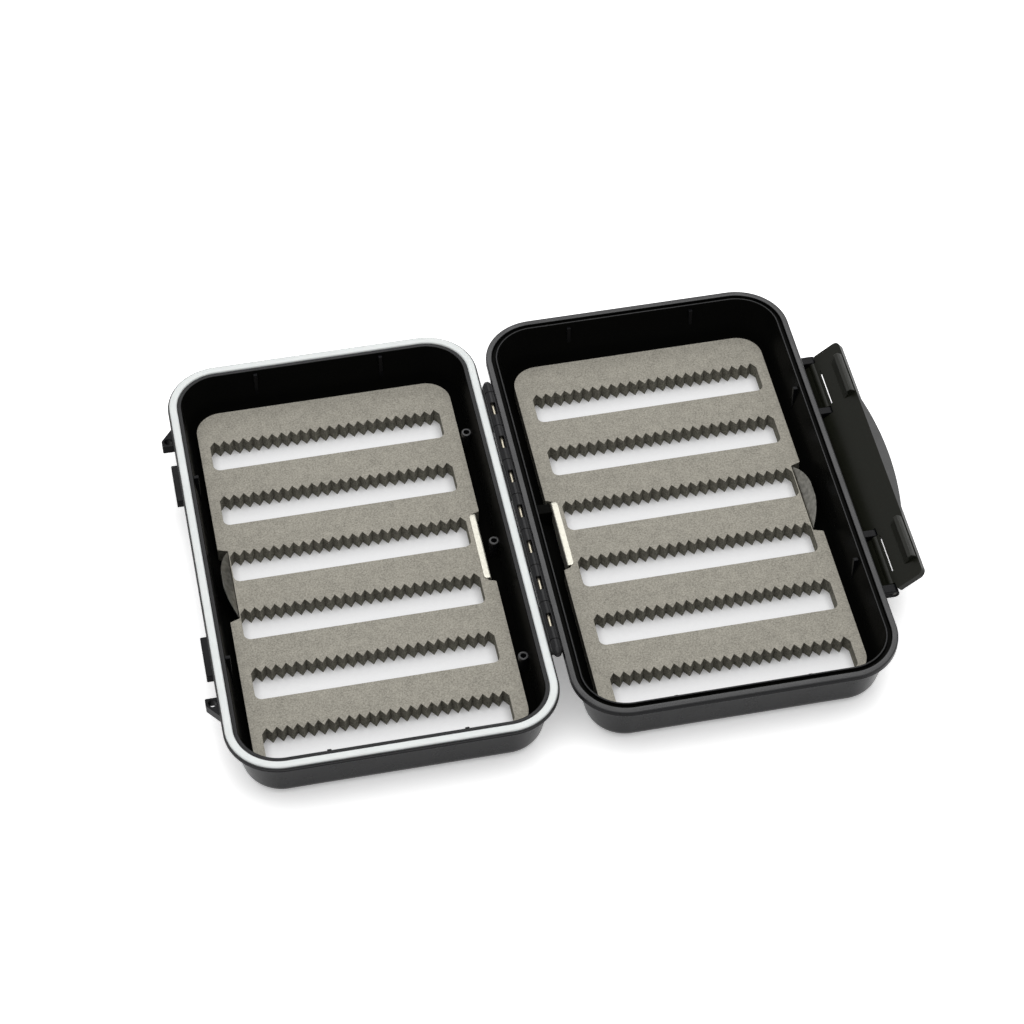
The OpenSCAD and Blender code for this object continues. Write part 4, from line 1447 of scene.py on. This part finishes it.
@dataclass
class SteelFittings:
    """The bent steel parts of one insert, and the magnets under their feet."""

    insert: FoamInsert
    half_len: float = 12.0
    foot_half: float = 5.0
    foot_drop: float = 0.2
    sheet_t: float = 0.36
    foot_in: float = 27.0
    pull_gap: float = 0.3
    pull_out: float = 3.0
    pull_high: float = 3.3
    pull_share: float = 0.955
    pull_tip_half: float = 0.6
    pull_foot_r: float = 0.6
    pull_foot_top: float = 0.5
    pull_bend_r: float = 0.9
    side_gap: float = 0.05
    lip_w: float = 2.0
    lip_gap: float = 0.05
    lip_back: float = 0.2
    lip_front: float = 0.02
    lip_foot_r: float = 0.7
    lip_foot_top: float = 0.7
    lip_bend_r: float = 0.3
    lip_corner_r: float = 0.8

    def bent_sheet(
        self, path: Sequence[Point], widths: Sequence[float], side: int, columns: int = 24,
    ) -> Draft:
        """A sheet bent along a path, with its own width at each point.

        Args:
            path: Middle of the sheet as distance from the half's middle, and height.
            widths: Half of the sheet's width at each of those points.
            side: 1 beside the hinge, -1 at the outer wall.
            columns: Pieces across the sheet.

        Returns:
            The sheet with its thickness.
        """
        draft = Draft()
        faces: list[list[list[Vector]]] = []
        for face in (-1, 1):
            rows = []
            for i, (x, z) in enumerate(path):
                before, after = path[max(i - 1, 0)], path[min(i + 1, len(path) - 1)]
                way = (Vector(after) - Vector(before)).normalized()
                off = Vector((-way.y, way.x)) * face * self.sheet_t / 2
                rows.append([Vector((side * (x + off.x), widths[i] * (2 * k / columns - 1), z + off.y))
                             for k in range(columns + 1)])
            faces.append(rows)
        rings = [under + list(reversed(over)) for under, over in zip(*faces)]
        draft.grid(rings, wrap_rows=False, wrap_columns=True, cap=True)
        return draft

    def blade_width(self, run: float) -> float:
        """Half width of the pull tab's round blade at a distance up it."""
        blade = math.hypot(self.pull_out, self.pull_high)
        arc_r = (self.half_len ** 2 + blade ** 2) / (2 * blade)
        return max(self.pull_tip_half, math.sqrt(max(0.0, arc_r ** 2 - (run + arc_r - blade) ** 2)))

    def sampled(self, corners: Sequence[Corner], spacing: float) -> list[Point]:
        """A rounded path with points along its straight runs too."""
        rough = rounded(corners, step=15.0)
        path = [rough[0]]
        for here, there in zip(rough, rough[1:]):
            pieces = max(1, math.ceil(math.dist(here, there) / spacing))
            (x, z), (to_x, to_z) = here, there
            path += [(x + (to_x - x) * k / pieces, z + (to_z - z) * k / pieces) for k in range(1, pieces + 1)]
        return path

    def pull_tab(self) -> Draft:
        """The pull tab, from its foot to the top of its leaning blade."""
        ins = self.insert
        foot_z, top = ins.backing_z - self.foot_drop, ins.foam_z + ins.foam_t
        face, broad = ins.notch_at + self.pull_gap, self.half_len - self.side_gap
        end = (face + self.pull_out * self.pull_share, top + self.pull_high * self.pull_share)
        bends = [
            (self.foot_in, foot_z, 0.0), (face, foot_z, self.pull_foot_r),
            (face, top, self.pull_bend_r), (*end, 0.0),
        ]
        path = self.sampled(bends, spacing=0.35)
        widths = []
        for x, z in path:
            if z < ins.backing_z + self.pull_foot_top:
                widths.append(self.foot_half)
            elif z <= top:
                widths.append(broad)
            else:
                widths.append(min(broad, self.blade_width(math.hypot(x - face, z - top))))
        return self.bent_sheet(path, widths, -1, columns=36)

    def retaining_lip(self) -> Draft:
        """The retaining lip, from its foot to the bar over the foam's edge."""
        ins = self.insert
        foot_z = ins.backing_z - self.foot_drop
        top = ins.foam_z + ins.foam_t + self.lip_gap + self.sheet_t / 2
        face = ins.notch_at + self.lip_w / 2 - self.lip_back
        end = ins.notch_at - self.lip_w / 2 + self.lip_front
        bends = [
            (self.foot_in, foot_z, 0.0), (face, foot_z, self.lip_foot_r),
            (face, top, self.lip_bend_r), (end, top, 0.0),
        ]
        path = self.sampled(bends, spacing=0.2)
        widths = []
        for x, z in path:
            if z < ins.backing_z + self.lip_foot_top:
                widths.append(self.foot_half)
            else:
                tip = max(0.0, end + self.lip_corner_r - x) if z > top - 0.01 else 0.0
                r = self.lip_corner_r
                widths.append(self.half_len - r + math.sqrt(max(0.0, r * r - tip * tip)))
        return self.bent_sheet(path, widths, 1)

    def build(self) -> None:
        """Makes both steel parts and dresses the magnets."""
        half = self.insert.half
        for part, draft, finish in (
            ("pull_tab", self.pull_tab(), SHADED_TAB_STEEL),
            ("retaining_lip", self.retaining_lip(), LIP_STEEL),
        ):
            node = f"{half.value}_{part}"
            standing = Standing(half.insert_body, (node,), "bright_steel", half.place)
            make_piece(f"{node}_piece", draft, standing, finish, Edges(0.07, 2, sharp_deg=40.0))
        for place in ("outer", "hinge"):
            dress_node(f"{half.value}_magnet_{place}", NICKEL)


@dataclass
class SnapLatch:
    """The snap latch: plate, barrels, hook ribs and thumb tab, in its own frame about its pins."""

    half_len: float = 45.5
    thick: float = 1.8
    root: float = 2.9
    room: float = 1.5
    boss_rooms: tuple[tuple[float, float], ...] = ((22.8, 25.6), (43.2, 46.5))
    reach: float = 10.45
    corner_r: float = 2.0
    up_deg: float = 39.0
    hook_at: float = 8.25
    hook_w: float = 1.9
    hook_slope: float = 2.2
    hook_high: float = 2.8
    hook_sunk: float = 0.5
    hook_tip: Point = (0.55, 1.1)
    hook_in: float = 24.7
    hook_len: float = 15.1
    tab_half: float = 24.3
    tab_out: float = 2.7
    tab_t: float = 1.5
    barrel_r: float = 1.3
    barrel: tuple[float, float] = (25.6, 43.2)
    pin_bore: float = 0.55
    slit: tuple[float, float] = (26.0, 39.4)
    slit_at: float = 1.7
    slit_w: float = 0.3
    slit_reach: float = 3.0
    slit_lean_deg: float = 20.0

    @property
    def place(self) -> Matrix:
        """The step from the latch's own millimetres to metres in the case."""
        pins = Matrix.Translation((-SIZES.rim_x - LidHalf.pin_out, 0.0, -LidHalf.pin_drop))
        turn = Matrix.Diagonal((-1, 1, 1, 1)) @ Matrix.Rotation(math.radians(-self.up_deg), 4, "Y")
        return Half.LID.place @ pins @ turn

    def plate(self) -> Draft:
        """The plate with rounded outer corners and room for the lid's bosses."""
        r, h = self.corner_r, self.half_len
        (in_low, in_high), (out_low, _) = self.boss_rooms
        half: list[Corner] = [
            (self.reach, h, r), (self.room, h, 0.6), (self.room, out_low, 0.2), (-self.root, out_low, 0.4),
            (-self.root, in_high, 0.4), (self.room, in_high, 0.2), (self.room, in_low, 0.2),
            (-self.root, in_low, 0.4),
        ]
        draft = Draft()
        corners = half + [(x, -y, radius) for x, y, radius in reversed(half)]
        draft.prism(rounded(corners, closed=True, step=11.0), -self.thick / 2, self.thick / 2)
        return draft

    def slits(self) -> Draft:
        """What is cut from the plate to leave the two slits."""
        w, lean = self.slit_w / 2, math.tan(math.radians(self.slit_lean_deg))
        draft = Draft()
        low, high = self.slit
        past = self.slit_reach
        sides = ((-past, -w), (-past, w), (past, w), (past, -w))
        outline = [(self.slit_at + lean * z + across, z) for z, across in sides]
        for side in (-1, 1):
            draft.prism(outline, *sorted((side * low, side * high)), Plane.END_ON)
        return draft

    def hooks(self) -> Draft:
        """The two hook ribs, with a sloped root and a sloped far side."""
        at, w, high, low = self.hook_at, self.hook_w, self.hook_high, self.hook_sunk
        flat = self.thick / 2
        tip_in, tip_down = self.hook_tip
        outline = [
            (at - self.hook_slope, low), (at - self.hook_slope, flat), (at, 2 * flat), (at, high),
            (at + w - tip_in, high), (at + w, high - tip_down), (at + w, low),
        ]
        draft = Draft()
        for side in (-1, 1):
            ends = sorted((side * self.hook_in, side * (self.hook_in + self.hook_len)))
            draft.prism(outline, *ends, Plane.END_ON)
        return draft

    def barrels(self) -> Draft:
        """The two barrels round the pins."""
        draft = Draft()
        for side in (-1, 1):
            low, high = sorted(side * y for y in self.barrel)
            draft.prism(circle(0.0, 0.0, self.barrel_r, 40), low, high, Plane.END_ON,
                        holes=[circle(0.0, 0.0, self.pin_bore, 24)])
        return draft

    def thumb_tab(self) -> Draft:
        """The thumb tab, a shallow piece of a circle that lies level while the latch is open."""
        arc_r = (self.tab_half ** 2 + self.tab_out ** 2) / (2 * self.tab_out)
        sweep = math.asin(self.tab_half / arc_r)
        outline = [
            (self.tab_out - arc_r + arc_r * math.cos(a), arc_r * math.sin(a))
            for a in (sweep * (2 * k / 60 - 1) for k in range(61))
        ]
        draft = Draft()
        draft.prism(outline, -self.tab_t, 0.0)
        edge = Matrix.Translation((self.reach, 0, self.thick / 2))
        draft.cells.transform(edge @ Matrix.Rotation(math.radians(self.up_deg), 4, "Y"))
        return draft

    def paint_thumb_reflection(self, piece: bpy.types.Object) -> None:
        """Gives the thumb tab a rougher finish with a painted reflection: a lighter, glossier copy of the
        latch's moulding.
        """
        piece.data.materials.append(THUMB_TAB_REFLECTION.material())
        back = self.place.inverted()
        for face in piece.data.polygons:
            if (back @ face.center).x > self.reach + 0.1:
                face.material_index = 1

    def build(self) -> None:
        """Makes the latch's pieces and dresses its pins."""
        standing = Standing("latch", ("latch",), "latch", self.place)
        body = self.plate().cut(self.slits()).cut(self.thumb_tab(), "UNION")
        self.paint_thumb_reflection(make_piece("latch_plate", body, standing, BLACK_LATCH, Edges(0.35, 3)))
        make_piece("latch_hooks", self.hooks(), standing, HOOK_HIGHLIGHT, Edges(0.25, 3))
        make_piece("latch_barrels", self.barrels(), standing, BLACK_LATCH, Edges(0.15, 2))
        for word in ("far", "near"):
            dress_node(f"latch_pin_{word}", SHADED_LATCH_PIN)


@dataclass(frozen=True)
class Softbox:
    """A soft rectangular light."""

    name: str
    at: tuple[float, float, float]
    size: tuple[float, float]
    watts: float

    def add(self, look_at: Sequence[float]) -> None:
        """Adds the light, turned to a point."""
        data = bpy.data.lights.new(self.name, "AREA")
        data.shape, data.size, data.size_y, data.energy = "RECTANGLE", *self.size, self.watts
        light = bpy.data.objects.new(self.name, data)
        light.location = self.at
        light.rotation_euler = (Vector(look_at) - Vector(self.at)).to_track_quat("-Z", "Y").to_euler()
        bpy.context.scene.collection.objects.link(light)


@dataclass
class Studio:
    """A plain pale floor, soft light and the camera at the photograph's angle."""

    lens: float = 109.8
    camera_at: tuple[float, float, float] = (-0.0643, -0.5692, 0.6862)
    yaw_deg: float = -10.845
    tilt_deg: float = 41.045
    roll_deg: float = -0.42
    sensor: float = 36.0
    near_clip: float = 0.01
    look_at: tuple[float, float, float] = (0.047, 0.0, 0.0)
    world_level: float = 0.3
    floor_half: float = 2.5
    floor_level: float = 0.8
    floor_gain: float = 1.44
    floor_lift: float = 0.32
    lights: tuple[Softbox, ...] = (
        Softbox("overhead_softbox", (0.05, -0.06, 1.3), (1.5, 1.5), 13.5),
        Softbox("back_softbox", (0.3, 1.2, 1.4), (1.0, 0.5), 4.5),
    )

    def add_camera(self) -> None:
        """Sets the camera up."""
        data = bpy.data.cameras.new("camera")
        data.lens, data.sensor_width, data.clip_start = self.lens, self.sensor, self.near_clip
        camera = bpy.data.objects.new("camera", data)
        turn = (
            Matrix.Rotation(math.radians(self.yaw_deg), 4, "Z")
            @ Matrix.Rotation(math.radians(self.tilt_deg), 4, "X")
            @ Matrix.Rotation(math.radians(self.roll_deg), 4, "Z")
        )
        camera.matrix_world = Matrix.Translation(self.camera_at) @ turn
        bpy.context.scene.collection.objects.link(camera)
        bpy.context.scene.camera = camera

    def seen(self, bench: Bench) -> Socket:
        """A value of 1 for rays that show the background, straight, mirrored or through glass."""
        path = bench.node("ShaderNodeLightPath").outputs
        level = path["Is Camera Ray"]
        for ray in ("Is Glossy Ray", "Is Transmission Ray"):
            either = bench.node("ShaderNodeMath", operation="MAXIMUM")
            bench.links((level, either.inputs[0]), (path[ray], either.inputs[1]))
            level = either.outputs[0]
        return level

    def add_world(self) -> None:
        """A white surround: plain light on the object, pure white to the camera."""
        world = bpy.data.worlds.new("surround")
        bpy.context.scene.world = world
        world.use_nodes = True
        bench = Bench(world.node_tree)
        background = bench.tree.nodes["Background"].inputs
        background["Color"].default_value = (1.0, 1.0, 1.0, 1.0)
        bench.link(bench.between(self.seen(bench), self.world_level, 1.0), background["Strength"])

    def add_floor(self) -> None:
        """A pale floor that keeps the object's soft shadow."""
        draft = Draft()
        bmesh.ops.create_grid(draft.cells, x_segments=4, y_segments=4, size=self.floor_half)
        floor = draft.as_object("floor")
        material = bpy.data.materials.new("floor")
        material.use_nodes = True
        bench = Bench(material.node_tree)
        bench.tree.nodes.clear()
        out = bench.node("ShaderNodeOutputMaterial")
        both = bench.node("ShaderNodeAddShader")
        diffuse = bench.node("ShaderNodeBsdfDiffuse")
        glow = bench.node("ShaderNodeEmission")
        seen = self.seen(bench)
        bench.links(
            (bench.between(seen, self.floor_level, self.floor_gain), diffuse.inputs["Color"]),
            (bench.between(seen, 0.0, self.floor_lift), glow.inputs["Strength"]),
            (diffuse.outputs[0], both.inputs[0]),
            (glow.outputs[0], both.inputs[1]),
            (both.outputs[0], out.inputs["Surface"]),
        )
        floor.data.materials.append(material)

    def build(self) -> None:
        """Sets up the camera, floor, surround and lights."""
        bpy.context.scene.view_settings.view_transform = "Standard"
        self.add_camera()
        self.add_world()
        self.add_floor()
        for light in self.lights:
            light.add(self.look_at)


def build_shells(tree: Tree) -> None:
    """Makes both shells and the hinge between them."""
    hinge, base, lid = Hinge(), BaseHalf(), LidHalf()
    base.build(tree, hinge)
    lid.build(hinge)
    hinge.build(tree, {Half.BASE: base, Half.LID: lid})


def main() -> None:
    """Builds the studio and every sub-assembly in order."""
    logging.basicConfig(level=logging.INFO, format="%(name)s: %(message)s")
    Studio().build()
    rows, sheets = row_tree(), slotted_sheet_tree()
    build_shells(rows)
    RimSeal().build()
    for half in Half:
        insert = FoamInsert(half)
        insert.build(sheets)
        SteelFittings(insert).build()
    SnapLatch().build()


if __name__ == "__main__":
    main()
